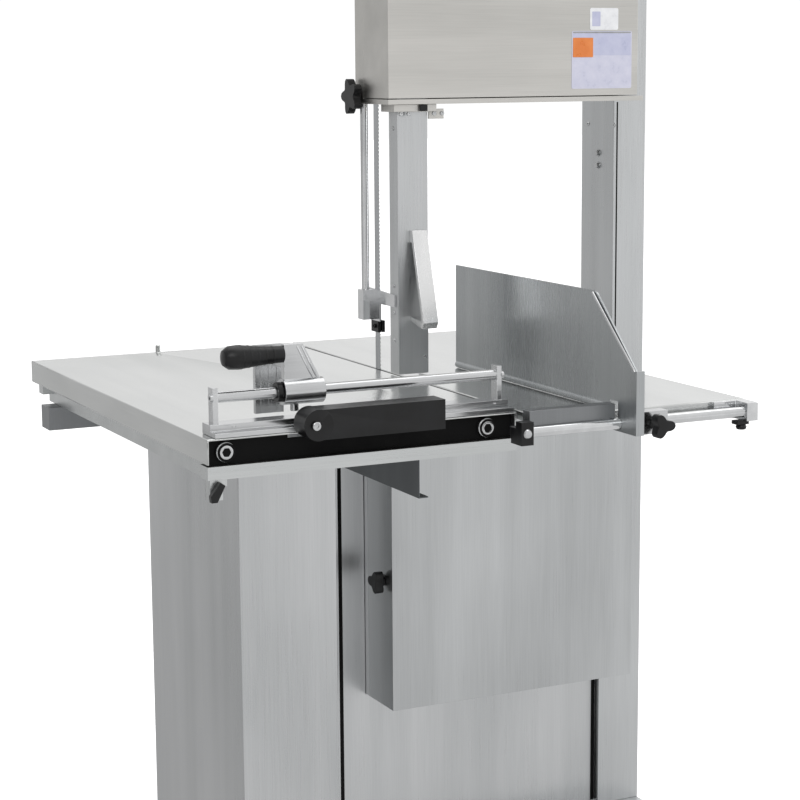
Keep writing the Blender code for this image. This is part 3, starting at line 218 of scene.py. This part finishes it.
slotLooks = {
    "brushed_stainless": sheetUpright, "polished_stainless": sheetTable, "chromed_steel": chrome,
    "cast_iron": iron, "blade_steel": bladeSteel, "black_rubber": blackRubber, "black_plastic": blackAbs,
    "motor_grey": motorEnamel, "green_plastic": greenAbs, "red_plastic": redAbs,
}
nodeLooks = {
    "fence_plate": sheetFence, "guard_slide_plate": sheetAcross, "rear_cross_beam": sheetDark,
    "guard_handle": handleSteel, "lower_cover": sheetCover, "pusher_arm": barSteel, "pusher_plate": barSteel,
    "pusher_strip": barSteel, "fence_clamp": barSteel, "fence_guide_bar": sheetDark, "rail_frame": sheetLip,
    "head_door": sheetAcross, "head_back_pan": sheetAcross, "rail_beam": beamMatt, "column": sheetColumn,
    "switch_box": blackAbs,
}
slotOfNode = {row["node"]: row["material_slot"] for row in frame["record"]["subparts"]}
bodyOfNode = {n: body for body, members in frame["record"]["behaviour"]["bodies"].items() for n in members}
print("finishes made:", len(bpy.data.materials))


# carried-over parts, with their edges softened as folded or machined metal has them

def place(piece, body, slotName, look, *stands):
    piece.data.materials.clear()
    piece.data.materials.append(look)
    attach(piece, body)
    if stands:
        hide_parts(*stands)
    return piece


def roundEdges(piece, width):
    bevel = piece.modifiers.new("edge", "BEVEL")
    bevel.width = width
    bevel.segments = 2
    bevel.limit_method = "ANGLE"
    bevel.angle_limit = math.radians(38)
    bevel.use_clamp_overlap = True


def softened(node, width):
    mesh = frame["nodes"][node].data.copy()
    mesh.name = node + "Form"
    shape = bmesh.new()
    shape.from_mesh(mesh)
    bmesh.ops.remove_doubles(shape, verts=shape.verts, dist=0.00001)
    if node != "drive_belt":  # its faces stay as they come
        bmesh.ops.dissolve_limit(shape, angle_limit=math.radians(0.6), verts=shape.verts, edges=shape.edges)
    shape.to_mesh(mesh)
    shape.free()
    piece = bpy.data.objects.new(node + "_shown", mesh)
    bpy.context.scene.collection.objects.link(piece)
    roundEdges(piece, width)
    mesh.shade_smooth()
    mesh.set_sharp_from_angle(angle=math.radians(33))
    look = nodeLooks.get(node) or slotLooks[slotOfNode[node]]
    return place(piece, bodyOfNode[node], slotOfNode[node], look, node)


edgeWidths = {"default": 0.0006, "fixed_table": 0.0016, "sliding_table": 0.0016, "head_door": 0.0014,
              "lower_cover": 0.0014, "left_cabinet": 0.0014, "base_cabinet": 0.0012, "column": 0.0014,
              "push_bar": 0.0025, "pusher_grip": 0.0004, "fence_plate": 0.0009}
for nodeName in frame["nodes"]:
    if nodeName != "saw_blade":  # the toothed ribbon below stands for it
        softened(nodeName, edgeWidths.get(nodeName, edgeWidths["default"]))
print("parts softened")


# made pieces: small shapes are gathered into one mesh for each body and finish

facing = {"-X": (Vector((0, -1, 0)), Vector((0, 0, 1)), Vector((-1, 0, 0))),
          "+X": (Vector((0, 1, 0)), Vector((0, 0, 1)), Vector((1, 0, 0))),
          "-Y": (Vector((1, 0, 0)), Vector((0, 0, 1)), Vector((0, -1, 0))),
          "+Y": (Vector((-1, 0, 0)), Vector((0, 0, 1)), Vector((0, 1, 0))),
          "+Z": (Vector((1, 0, 0)), Vector((0, 1, 0)), Vector((0, 0, 1))),
          "-Z": (Vector((1, 0, 0)), Vector((0, -1, 0)), Vector((0, 0, -1)))}
sunk = 0.0006  # how far a screw head's underside goes into the part it holds


def addSlab(shape, start, end):
    corners = [shape.verts.new((x, y, z)) for x in (start[0], end[0]) for y in (start[1], end[1])
               for z in (start[2], end[2])]
    for quad in ((0, 1, 3, 2), (4, 6, 7, 5), (0, 4, 5, 1), (2, 3, 7, 6), (0, 2, 6, 4), (1, 5, 7, 3)):
        shape.faces.new([corners[i] for i in quad])


def addTurned(shape, at, way, profile, sides=24):
    # profile: (radius, height, True where the ring is a hexagon); a radius of 0 is a point on the axis
    across, up, out = facing[way]
    rings = []
    for radius, height, *hexagon in profile:
        middle = Vector(at) + out * height
        if radius == 0:
            rings.append([shape.verts.new(middle)])
            continue
        ring = []
        for step in range(sides):
            angle = 2 * math.pi * step / sides
            flat = math.cos(math.pi / 6) / math.cos(angle % (math.pi / 3) - math.pi / 6) if hexagon else 1.0
            spoke = across * math.cos(angle) + up * math.sin(angle)
            ring.append(shape.verts.new(middle + spoke * radius * flat))
        rings.append(ring)
    for first, second in zip(rings, rings[1:]):
        for step in range(sides):
            after = (step + 1) % sides
            if len(first) == 1:
                shape.faces.new((first[0], second[step], second[after]))
            elif len(second) == 1:
                shape.faces.new((first[step], second[0], first[after]))
            else:
                shape.faces.new((first[step], second[step], second[after], first[after]))


def addCutOut(shape, outline, way, at, thick):
    # flat sheet; the outline is in the two directions across the way it faces
    across, up, out = facing[way]
    rings = [[shape.verts.new(Vector(at) + across * u + up * v + out * h) for u, v in outline]
             for h in (0.0, thick)]
    shape.faces.new(rings[0][::-1])
    shape.faces.new(rings[1])
    for i in range(len(outline)):
        j = (i + 1) % len(outline)
        shape.faces.new((rings[0][i], rings[0][j], rings[1][j], rings[1][i]))


def roundedOutline(wide, tall, radius, steps=6):
    points = []
    for turn, (u, v) in enumerate(((1, 1), (-1, 1), (-1, -1), (1, -1))):
        for step in range(steps + 1):
            angle = math.pi / 2 * (turn + step / steps)
            points.append((u * (wide / 2 - radius) + radius * math.cos(angle),
                           v * (tall / 2 - radius) + radius * math.sin(angle)))
    return points


def addSocketScrew(shape, at, way, radius, tall):
    # cap screw: chamfered round head with a hexagon socket
    socket = radius * 0.52
    addTurned(shape, at, way, [(0, -sunk), (radius, -sunk), (radius, tall * 0.82), (radius * 0.88, tall),
                               (radius * 0.56, tall), (socket, tall * 0.94, True),
                               (socket, tall * 0.30, True), (0, tall * 0.22)])


def addHexBolt(shape, at, way, radius, tall):
    # hexagon head on a plain washer
    washer, base = radius * 1.32, tall * 0.28
    addTurned(shape, at, way, [(0, -sunk), (washer, -sunk), (washer, base), (radius * 0.98, base),
                               (radius, base + 0.0001, True), (radius, tall * 0.9, True),
                               (radius * 0.84, tall), (0, tall * 0.99)])


def addPanHead(shape, at, way, radius, tall):
    # low round head with a small driver recess
    addTurned(shape, at, way, [(0, -sunk), (radius, -sunk), (radius, tall * 0.35),
                               (radius * 0.82, tall * 0.82), (radius * 0.45, tall),
                               (radius * 0.34, tall * 0.96, True),
                               (radius * 0.24, tall * 0.35, True), (0, tall * 0.25)])


def addBar(shape, start, end, radius, sides=12):
    # round bar with tapered ends, lying in a plane across X
    start, end = Vector(start), Vector(end)
    along = (end - start).normalized()
    across = along.cross(Vector((1, 0, 0))).normalized()
    up = along.cross(across)
    taper = along * radius * 0.4
    angles = [2 * math.pi * i / sides for i in range(sides)]
    spokes = [across * math.cos(angle) + up * math.sin(angle) for angle in angles]
    rings = [[shape.verts.new(at + spoke * radius * reach) for spoke in spokes] for at, reach in (
        (start, 0.6), (start + taper, 1.0), (end - taper, 1.0), (end + taper, 0.6))]
    for first, second in zip(rings, rings[1:]):
        for i in range(sides):
            j = (i + 1) % sides
            shape.faces.new((first[i], first[j], second[j], second[i]))
    shape.faces.new(rings[0][::-1])
    shape.faces.new(rings[-1])


def finishPiece(name, shape, body, slotName, look, stands=(), edge=0.0, smoothBelow=35):
    bmesh.ops.recalc_face_normals(shape, faces=shape.faces)
    mesh = bpy.data.meshes.new(name + "Form")
    shape.to_mesh(mesh)
    shape.free()
    piece = bpy.data.objects.new(name, mesh)
    bpy.context.scene.collection.objects.link(piece)
    if edge:
        roundEdges(piece, edge)
    mesh.shade_smooth()
    mesh.set_sharp_from_angle(angle=math.radians(smoothBelow))
    return place(piece, body, slotName, look, *stands)


low = {node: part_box(node)[0] for node in frame["nodes"]}
high = {node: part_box(node)[1] for node in frame["nodes"]}
mid = {node: [(a + b) / 2 for a, b in zip(low[node], high[node])] for node in frame["nodes"]}
tableLeft, tableFront = low["sliding_table"][:2]
tableTop = high["fixed_table"][2]


# blade: one endless toothed ribbon round both wheels

blade = {"pitch": 0.00635, "tooth": 0.0032, "root": 0.0012, "gap": 0.0003}


def bladeLoop():
    # points (x, z) round the wheels, half a tooth apart, each with the way in towards the wheel
    left = low["saw_blade"][0]
    thick = low["lower_wheel"][0] - left - blade["gap"]
    x, lower, upper = mid["lower_wheel"][0], mid["lower_wheel"][2], mid["upper_wheel"][2]
    radius = x - left - thick / 2
    span = upper - lower
    half = span + math.pi * radius
    count = round(2 * half / blade["pitch"]) * 2
    points = []
    for step in range(count):
        travelled = 2 * half * step / count
        turn = (travelled - span) / radius
        if travelled < span:
            points.append(((x - radius, lower + travelled), (1, 0)))
        elif travelled < half:
            way = (math.cos(math.pi - turn), math.sin(math.pi - turn))
            points.append(((x + radius * way[0], upper + radius * way[1]), (-way[0], -way[1])))
        elif travelled < half + span:
            points.append(((x + radius, upper - (travelled - half)), (-1, 0)))
        else:
            turn = (half + span - travelled) / radius
            way = (math.cos(turn), math.sin(turn))
            points.append(((x + radius * way[0], lower + radius * way[1]), (-way[0], -way[1])))
    return points, thick / 2


shape = bmesh.new()
loop, halfThick = bladeLoop()
tips, back = low["saw_blade"][1], high["saw_blade"][1]
root = tips + blade["tooth"] + blade["root"]
rows = []
for step, ((x, z), (inX, inZ)) in enumerate(loop):
    tip = tips + (blade["tooth"] if step % 2 else 0.0)
    section = ((tip, -halfThick), (root, -halfThick), (back, -halfThick),
               (back, halfThick), (root, halfThick), (tip, halfThick))
    rows.append([shape.verts.new((x - inX * away, y, z - inZ * away)) for y, away in section])
for first, second in zip(rows, rows[1:] + rows[:1]):
    for i in range(6):
        j = (i + 1) % 6
        shape.faces.new((first[i], second[i], second[j], first[j]))
finishPiece("bladeRibbon", shape, bodyOfNode["saw_blade"], slotOfNode["saw_blade"], bladeSteel,
            ("saw_blade",), smoothBelow=25)
print("blade made:", len(loop), "steps")


# head door: blank plates in plain colour blocks, up to two laid over each other
# (left and right from the sliding table's left edge, bottom and top from the table top), level, look, corner

film = {"thick": 0.0004, "lift": 0.0002, "proud": 0.00005}
doorPlates = {
    "doorPlateLarge": ((0.801, 0.918, 0.465, 0.560), 0, filmPale, 0.003),
    "doorPlateBlock": ((0.803, 0.916, 0.520, 0.556), 1, filmLavender, 0.001),
    "doorPlateStrip": ((0.803, 0.916, 0.5565, 0.5590), 1, filmGrey, 0.0008),
    "doorPlateMark": ((0.803, 0.842, 0.517, 0.549), 2, filmOrange, 0.001),
    "doorPlateSmall": ((0.836, 0.891, 0.562, 0.598), 0, filmWhite, 0.003),
    "doorPlateSmallMark": ((0.840, 0.856, 0.568, 0.592), 1, filmLavender, 0.001),
}
for name, ((left, right, bottom, top), level, look, corner) in doorPlates.items():
    shape = bmesh.new()
    face = low["head_door"][1] - film["proud"] - level * film["lift"]
    addCutOut(shape, roundedOutline(right - left, top - bottom, corner), "-Y",
              (tableLeft + (left + right) / 2, face, tableTop + (bottom + top) / 2), film["thick"])
    finishPiece(name, shape, "head_door_leaf", slotOfNode["head_door"], look, smoothBelow=30)


# rail ends: dark seats with bright socket rings, in the black slot plate

railEnd = {"ring": [(0, 0.0), (0.0098, 0.0), (0.0098, 0.0006), (0.0088, 0.0010), (0.0072, 0.0010),
                    (0.0066, 0.0004, True), (0.0040, 0.0002, True), (0, 0.0001)],
           "seat": [(0, 0.0), (0.0135, 0.0), (0.0135, 0.0004), (0.0, 0.0005)]}
rings, seats = bmesh.new(), bmesh.new()
for node in ("rail_left", "rail_right"):
    x, z, front = mid[node][0], mid[node][2], low[node][1]
    addTurned(rings, (x, front + 0.0002, z), "-Y", railEnd["ring"])
    addTurned(seats, (x, front + 0.0001, z), "-Y", railEnd["seat"], 30)
finishPiece("railEndRings", rings, "frame", slotOfNode["rail_frame"], barSteel)
finishPiece("railEndSeats", seats, "frame", slotOfNode["slot_plate"], blackRubber)


# guard: screws up its folded flange and face, bracket bolts, stop block and screws of its slide plate

guard = {"flangeScrews": (0.058, 0.104, 0.148, 0.405), "faceScrews": (0.030, 0.462, 0.485),
         "slideScrews": (0.012, 0.026, 0.072, 0.086)}
post, guideBlock, slide = low["guard_post"], low["upper_blade_guide"], low["guard_slide_plate"]
shape = bmesh.new()
for z in guard["flangeScrews"]:
    addPanHead(shape, (post[0], post[1] + 0.015, tableTop + z), "-X", 0.0034, 0.0018)
for z in guard["faceScrews"]:
    addPanHead(shape, (high["guard_post"][0] - 0.007, post[1], tableTop + z), "-Y", 0.0028, 0.0016)
finishPiece("guardScrews", shape, "guard", slotOfNode["guard_rod"], barSteel)

shape = bmesh.new()
addSocketScrew(shape, (low["guard_rod"][0] + 0.030, low["guard_rod"][1] + 0.0005, tableTop + 0.1005), "-Y",
               0.0045, 0.0042)
addSocketScrew(shape, (guideBlock[0], guideBlock[1] + 0.012, guideBlock[2] + 0.010), "-X", 0.0036, 0.0030)
finishPiece("guardBolts", shape, "guard", slotOfNode["upper_blade_guide"], blackAbs)

shape = bmesh.new()
addSlab(shape, (slide[0] + 0.045, slide[1] - 0.006, slide[2] + 0.013),
        (slide[0] + 0.058, slide[1] + 0.002, slide[2] + 0.0235))
finishPiece("guideStop", shape, "frame", slotOfNode["rod_holder_left"], blackAbs, edge=0.0008)

shape = bmesh.new()
for x in guard["slideScrews"]:
    addSocketScrew(shape, (slide[0] + x, slide[1], slide[2] + 0.009), "-Y", 0.0036, 0.0032)
finishPiece("guideScrews", shape, "frame", slotOfNode["guard_rod"], barSteel)

shape = bmesh.new()
knobRight, knobY, knobZ = high["guard_lock_knob"][0], *mid["guard_lock_knob"][1:]
addTurned(shape, (knobRight - 0.0002, knobY, knobZ), "-X",
          [(0, 0), (0.0095, 0), (0.0095, 0.0014), (0.0075, 0.0018), (0, 0.0018)])
finishPiece("guardLockWasher", shape, "guard_lock", slotOfNode["guard_rod"], barSteel)


# pusher: rod-end screws, bar screw, toothed back and ribbed front of its plate

strip, stripHigh = low["pusher_strip"], high["pusher_strip"]
rodY, rodZ = mid["pusher_strip"][1], mid["pusher_stop_ring"][2]
shape = bmesh.new()
addSocketScrew(shape, (strip[0] + 0.006, rodY, rodZ), "-X", 0.0052, 0.0038)
addSocketScrew(shape, (stripHigh[0] - 0.0093, rodY, rodZ), "+X", 0.0052, 0.0038)
for x in (strip[0] + 0.030, mid["pusher_strip"][0], stripHigh[0] - 0.030):
    addPanHead(shape, (x, strip[1] + 0.006, strip[2] + 0.0137), "+Z", 0.0030, 0.0014)
finishPiece("pusherScrews", shape, "table_slide_body", slotOfNode["pusher_strip"], barSteel)

shape = bmesh.new()
addSocketScrew(shape, (low["push_bar"][0] + 0.017, low["push_bar"][1] + 0.0003, mid["push_bar"][2]), "-Y",
               0.0062, 0.0030)
finishPiece("pushBarScrew", shape, "table_slide_body", slotOfNode["push_bar"], barSteel)

pushPlate = {"teeth": 7, "toothStep": 0.011, "toothTall": 0.0032,
             "ribs": 3, "ribStep": 0.0125, "ribWide": 0.0045}
plateLow, plateHigh = low["pusher_plate"], high["pusher_plate"]
teeth, ribs = bmesh.new(), bmesh.new()
for i in range(pushPlate["teeth"]):
    z = plateLow[2] + 0.012 + i * pushPlate["toothStep"]
    addSlab(teeth, (plateLow[0] + 0.003, plateHigh[1] - 0.0006, z),
            (plateHigh[0] - 0.003, plateHigh[1] + 0.0018, z + pushPlate["toothTall"]))
for i in range(pushPlate["ribs"]):
    x = plateLow[0] + 0.008 + i * pushPlate["ribStep"]
    addSlab(ribs, (x, plateLow[1] - 0.0014, plateLow[2] + 0.003),
            (x + pushPlate["ribWide"], plateLow[1] + 0.0006, plateHigh[2] - 0.003))
for name, shape in (("pusherTeeth", teeth), ("pusherRibs", ribs)):
    finishPiece(name, shape, bodyOfNode["pusher_plate"], slotOfNode["pusher_plate"], barSteel, edge=0.0007)

# grip: (distance from its root, radius) of each moulded ring
gripRings = ((0.014, 0.0124), (0.026, 0.0130), (0.038, 0.0142), (0.050, 0.0155),
             (0.062, 0.0168))
shape = bmesh.new()
for far, radius in gripRings:
    inside = radius - 0.002
    addTurned(shape, (high["pusher_grip"][0] - far, mid["pusher_grip"][1], mid["pusher_grip"][2]), "-X",
              [(inside, 0.0), (radius + 0.0002, 0.0004), (radius + 0.0007, 0.0020), (radius + 0.0005, 0.0036),
               (inside, 0.0042), (inside, 0.0)], 32)
finishPiece("gripRings", shape, bodyOfNode["pusher_grip"], slotOfNode["pusher_grip"], blackAbs)

# arm: two bright ridges down its slope
armRidge = {"insets": (0.0026, 0.0095), "radius": 0.0013}
armLow, armHigh = low["pusher_arm"], high["pusher_arm"]
armTop = [v.co for v in frame["nodes"]["pusher_arm"].data.vertices if v.co.z > armHigh[2] - 0.0005]
armFace, armCorner = min(v.y for v in armTop) + 0.0002, max(v.x for v in armTop)
shape = bmesh.new()
for inset in armRidge["insets"]:
    addBar(shape, (armCorner - inset, armFace, armHigh[2] - 0.0035),
           (armHigh[0] - 0.0035 - inset, armFace, armLow[2] + 0.0395), armRidge["radius"])
finishPiece("armRidges", shape, bodyOfNode["pusher_arm"], slotOfNode["pusher_arm"], chrome)


# fence rod: stop ring, end catch and holder pin; cap screw of the clamp

fenceRod = {"ringAt": 0.6235, "behindHolder": 0.013}
holder, rodEnd = low["rod_holder_left"], high["fence_rod"][0]
fenceRodY, fenceRodZ = holder[1] + fenceRod["behindHolder"], mid["rod_holder_left"][2]
shape = bmesh.new()
addTurned(shape, (tableLeft + fenceRod["ringAt"], fenceRodY, fenceRodZ), "+X",
          [(0.0079, 0.0), (0.0128, 0.0), (0.0136, 0.0008), (0.0136, 0.0052), (0.0128, 0.0060),
           (0.0079, 0.0060), (0.0079, 0.0)], 32)
finishPiece("rodStopRing", shape, "frame", slotOfNode["rod_holder_left"], blackAbs)

shape = bmesh.new()
addSlab(shape, (rodEnd - 0.0325, fenceRodY - 0.006, fenceRodZ - 0.019),
        (rodEnd - 0.0110, fenceRodY + 0.010, fenceRodZ - 0.0130))
addTurned(shape, (rodEnd - 0.0200, fenceRodY + 0.002, fenceRodZ - 0.0190), "-Z",
          [(0, 0), (0.0065, 0), (0.0085, 0.004), (0.0070, 0.008), (0, 0.0085)], 20)
finishPiece("rodEndCatch", shape, "frame", slotOfNode["rod_holder_left"], blackAbs, edge=0.0008)

shape = bmesh.new()
addTurned(shape, (holder[0] + 0.010, holder[1] + 0.0003, fenceRodZ), "-Y",
          [(0, 0), (0.0062, 0), (0.0070, 0.0012), (0.0055, 0.0032), (0, 0.0036)], 24)
finishPiece("holderPin", shape, "frame", slotOfNode["fence_rod"], barSteel)

shape = bmesh.new()
clampTop = high["fence_clamp"][2]
addSocketScrew(shape, (mid["fence_clamp"][0] + 0.021, low["fence_clamp"][1] + 0.0003, clampTop - 0.008), "-Y",
               0.0034, 0.0026)
finishPiece("clampScrew", shape, "fence", slotOfNode["fence_clamp"], barSteel)


# fence: rolled bright edge down its slope

rolled = {"radius": 0.0021, "inFromFace": 0.0016, "inset": 0.0022}
corners = [v.co.copy() for v in frame["nodes"]["fence_plate"].data.vertices]
slopeTop = min((v for v in corners if v.z > high["fence_plate"][2] - 0.0006), key=lambda v: v.y)
below = [v for v in corners if v.y < slopeTop.y - 0.02 and tableTop + 0.05 < v.z < slopeTop.z - 0.02]
slopeFoot = max(below, key=lambda v: v.z * 0.2 - v.y)
fenceMid = low["fence_plate"][0] + rolled["inFromFace"]
shape = bmesh.new()
addBar(shape, (fenceMid, slopeTop.y, slopeTop.z - rolled["inset"]),
       (fenceMid, slopeFoot.y + rolled["inset"], slopeFoot.z), rolled["radius"])
finishPiece("fenceRolledEdge", shape, "fence", slotOfNode["fence_plate"], chrome)


# dark strips: painted shadow in the gaps of the front sheet at the leg and at the column, and a dark strip up
# the column's front corner

seam = {"wide": 0.0065, "proud": 0.0010, "fromLeg": 0.0405, "fromColumn": -0.0072, "tall": 0.745}
sheet, column = low["base_cabinet"], low["column"]
columnSide = column[0] + 0.0212
shape = bmesh.new()
# black strips painted as the shadow in the gaps beside the leg and the column
for x in (sheet[0] + seam["fromLeg"], column[0] + seam["fromColumn"]):
    addSlab(shape, (x, sheet[1] - seam["proud"], sheet[2] + 0.004),
            (x + seam["wide"], sheet[1] + 0.0004, sheet[2] + seam["tall"]))
finishPiece("frontGapShadowStrips", shape, "frame", slotOfNode["slot_plate"], blackRubber, edge=0.0003)

shape = bmesh.new()
for z in (0.350, 0.328):
    addHexBolt(shape, (columnSide, column[1] + 0.0660, tableTop + z), "-X", 0.0052, 0.0050)
for y in (0.012, 0.100):
    addPanHead(shape, (columnSide, column[1] + y, tableTop + 0.400), "-X", 0.0040, 0.0022)
finishPiece("columnScrews", shape, "frame", slotOfNode["column"], barSteel)

shape = bmesh.new()
addSlab(shape, (columnSide - seam["proud"], column[1] + 0.0012, tableTop + 0.004),
        (columnSide + 0.0006, column[1] + 0.0040, low["head_back_pan"][2] - 0.004))
finishPiece("columnCornerDarkStrip", shape, "frame", slotOfNode["slot_plate"], blackRubber, edge=0.0003)


# back: screws of the access panel and of the tension housing, gland nut

rear = {"panelInset": 0.014, "panelScrew": (0.0050, 0.0030), "housingInset": 0.012,
        "housingBolts": (0.020, 0.150, 0.290), "housingBolt": (0.0050, 0.0050)}
panel, panelHigh, panelMid = low["rear_access_panel"], high["rear_access_panel"], mid["rear_access_panel"]
panelEnds = (panel[0] + rear["panelInset"], panelHigh[0] - rear["panelInset"])
panelRows = (panel[2] + rear["panelInset"], panelHigh[2] - rear["panelInset"])
screwPlaces = [(x, z) for x in (panelEnds[0], panelMid[0], panelEnds[1]) for z in panelRows]
shape = bmesh.new()
for x, z in screwPlaces + [(x, panelMid[2]) for x in panelEnds]:
    addPanHead(shape, (x, panelHigh[1], z), "+Y", *rear["panelScrew"])
housing, housingHigh = low["tension_housing"], high["tension_housing"]
for x in (housing[0] + rear["housingInset"], housingHigh[0] - rear["housingInset"]):
    for z in rear["housingBolts"]:
        addHexBolt(shape, (x, housingHigh[1], housing[2] + z), "+Y", *rear["housingBolt"])
finishPiece("rearScrews", shape, "frame", slotOfNode["rear_access_panel"], barSteel)

shape = bmesh.new()
addTurned(shape, (mid["cable_gland"][0], low["cable_gland"][1] + 0.0002, mid["cable_gland"][2]), "+Y",
          [(0.0165, 0.0), (0.0210, 0.0, True), (0.0210, 0.0080, True), (0.0190, 0.0095), (0.0165, 0.0095),
           (0.0165, 0.0)])
finishPiece("glandNut", shape, "frame", slotOfNode["cable_gland"], blackAbs)


# feet: a lock nut above each pad

shape = bmesh.new()
for node in ("foot_front_left", "foot_front_right", "foot_rear_left", "foot_rear_right"):
    addTurned(shape, (mid[node][0], mid[node][1], high[node][2] - 0.0085), "+Z",
              [(0.0060, 0.0), (0.0115, 0.0, True), (0.0115, 0.0070, True), (0.0100, 0.0080), (0.0060, 0.0080),
               (0.0060, 0.0)])
finishPiece("footNuts", shape, "frame", slotOfNode["guard_rod"], barSteel)
print("small parts made")


# floor, light, camera

def areaLight(name, spot, aim, size, power):
    light = bpy.data.lights.new(name, "AREA")
    light.shape = "RECTANGLE"
    light.size, light.size_y = size
    light.energy = power
    lamp = bpy.data.objects.new(name, light)
    bpy.context.scene.collection.objects.link(lamp)
    lamp.location = spot
    lamp.rotation_euler = (Vector(aim) - Vector(spot)).to_track_quat("-Z", "Y").to_euler()


def studioFloor():
    # matt paper: white to the eye; to all other rays a glowing sheet with painted shade, greyer near the feet
    # and behind on the left, as the metal mirrors it
    paper = {"reach": 30.0, "glow": 0.55, "near": 0.76, "far": 0.99, "leftBehind": 0.36}
    mesh = bpy.data.meshes.new("studioFloor")
    r = paper["reach"]
    mesh.from_pydata([(-r, -r, 0), (r, -r, 0), (r, r, 0), (-r, r, 0)], [], [(0, 1, 2, 3)])
    floor = bpy.data.objects.new("studioFloor", mesh)
    bpy.context.scene.collection.objects.link(floor)
    material, tree, coords = newMaterial("whiteSweepPaper")
    fibres = layGrain(tree, coords, (30.0, 30.0, 30.0), 2.0)
    colour = addNode(tree, "ShaderNodeValToRGB", inputs={"Fac": (fibres, "Fac")},
                     stops=[(0.3, "#f3f3f3"), (0.7, "#f8f8f8")])
    sheet = addNode(tree, "ShaderNodeBsdfPrincipled", inputs={
        "Base Color": (colour, "Color"), "Roughness": 0.9, "Emission Color": (1.0, 1.0, 1.0, 1.0),
        "Emission Strength": paper["glow"]})
    soft = {"interpolation_type": "SMOOTHSTEP"}
    away = addNode(tree, "ShaderNodeVectorMath", {"operation": "LENGTH"}, {0: (coords, "Object")})
    level = addNode(tree, "ShaderNodeMapRange", soft,
                    between((away, "Value"), paper["near"], paper["far"], 0.5, 9.0))
    heading = addNode(tree, "ShaderNodeVectorMath", {"operation": "NORMALIZE"}, {0: (coords, "Object")})
    behind = addNode(tree, "ShaderNodeVectorMath", {"operation": "DOT_PRODUCT"}, {
        0: (heading, "Vector"), 1: (-0.85, 0.5, 0.0)})
    shade = addNode(tree, "ShaderNodeMapRange", soft,
                    between((behind, "Value"), 1.0, 1.0 - paper["leftBehind"], -0.1, 0.9))
    both = addNode(tree, "ShaderNodeMath", {"operation": "MULTIPLY"}, {
        0: (level, "Result"), 1: (shade, "Result")})
    # painted shade: the glow dims towards the feet and towards the back left
    mirrored = addNode(tree, "ShaderNodeEmission", inputs={"Color": (1, 1, 1, 1), "Strength": (both, 0)})
    seen = addNode(tree, "ShaderNodeLightPath")
    surface = addNode(tree, "ShaderNodeMixShader", inputs={
        0: (seen, "Is Camera Ray"), 1: (mirrored, 0), 2: (sheet, "BSDF")})
    addNode(tree, "ShaderNodeOutputMaterial", inputs={"Surface": (surface, 0)})
    mesh.materials.append(material)


def studioWorld():
    # soft surround, brighter to the right and above, with a plain white backdrop
    light = {"right": 0.34, "back": 0.05, "up": 0.16, "all": 0.74, "backdrop": 1.05}
    world = bpy.data.worlds.new("studioWorld")
    bpy.context.scene.world = world
    world.use_nodes = True
    tree = world.node_tree
    tree.nodes.clear()
    coords = addNode(tree, "ShaderNodeTexCoord")
    split = addNode(tree, "ShaderNodeSeparateXYZ", inputs={"Vector": (coords, "Generated")})
    level = None
    for axis, share in (("X", light["right"]), ("Y", light["back"]), ("Z", light["up"])):
        level = addNode(tree, "ShaderNodeMath", {"operation": "MULTIPLY_ADD"}, {
            0: (split, axis), 1: share, 2: (level, 0) if level else light["all"]})
    seen = addNode(tree, "ShaderNodeLightPath")
    surround = addNode(tree, "ShaderNodeBackground", inputs={"Color": (1, 1, 1, 1), "Strength": (level, 0)})
    backdrop = addNode(tree, "ShaderNodeBackground", inputs={
        "Color": (1, 1, 1, 1), "Strength": light["backdrop"]})
    both = addNode(tree, "ShaderNodeMixShader", inputs={
        0: (seen, "Is Camera Ray"), 1: (surround, 0), 2: (backdrop, 0)})
    addNode(tree, "ShaderNodeOutputWorld", inputs={"Surface": (both, 0)})


def standingCamera():
    # place counts from the sliding table's front left corner, at the fixed table's top; angles in degrees
    view = {"place": (-0.9851, -2.6383, 0.515), "turn": 25.90, "down": 9.34, "roll": 0.41, "lens": 93.1}
    turn, down, roll = (math.radians(view[key]) for key in ("turn", "down", "roll"))
    forward = Vector((math.sin(turn) * math.cos(down), math.cos(turn) * math.cos(down), -math.sin(down)))
    level = Vector((math.cos(turn), -math.sin(turn), 0.0))
    lower = forward.cross(level)
    across = level * math.cos(roll) + lower * math.sin(roll)
    below = lower * math.cos(roll) - level * math.sin(roll)
    data = bpy.data.cameras.new("studioCamera")
    data.lens = view["lens"]
    data.sensor_width = 36.0
    data.clip_end = 100.0
    camera = bpy.data.objects.new("studioCamera", data)
    bpy.context.scene.collection.objects.link(camera)
    axes = Matrix((across, -below, -forward)).transposed()
    spot = Vector((tableLeft, tableFront, tableTop)) + Vector(view["place"])
    camera.matrix_world = Matrix.Translation(spot) @ axes.to_4x4()
    bpy.context.scene.camera = camera


studioFloor()
studioWorld()
areaLight("keySoftbox", (-1.8, -3.4, 3.2), (0.0, 0.0, 0.9), (2.4, 1.8), 30)
areaLight("topSoftbox", (0.3, 0.4, 3.6), (0.0, 0.0, 0.8), (2.6, 2.6), 26)
areaLight("rightSoftbox", (3.2, -1.6, 1.8), (0.1, 0.0, 0.9), (1.2, 2.2), 12)
standingCamera()
bpy.context.scene.view_settings.view_transform = "Standard"
print("studio ready")
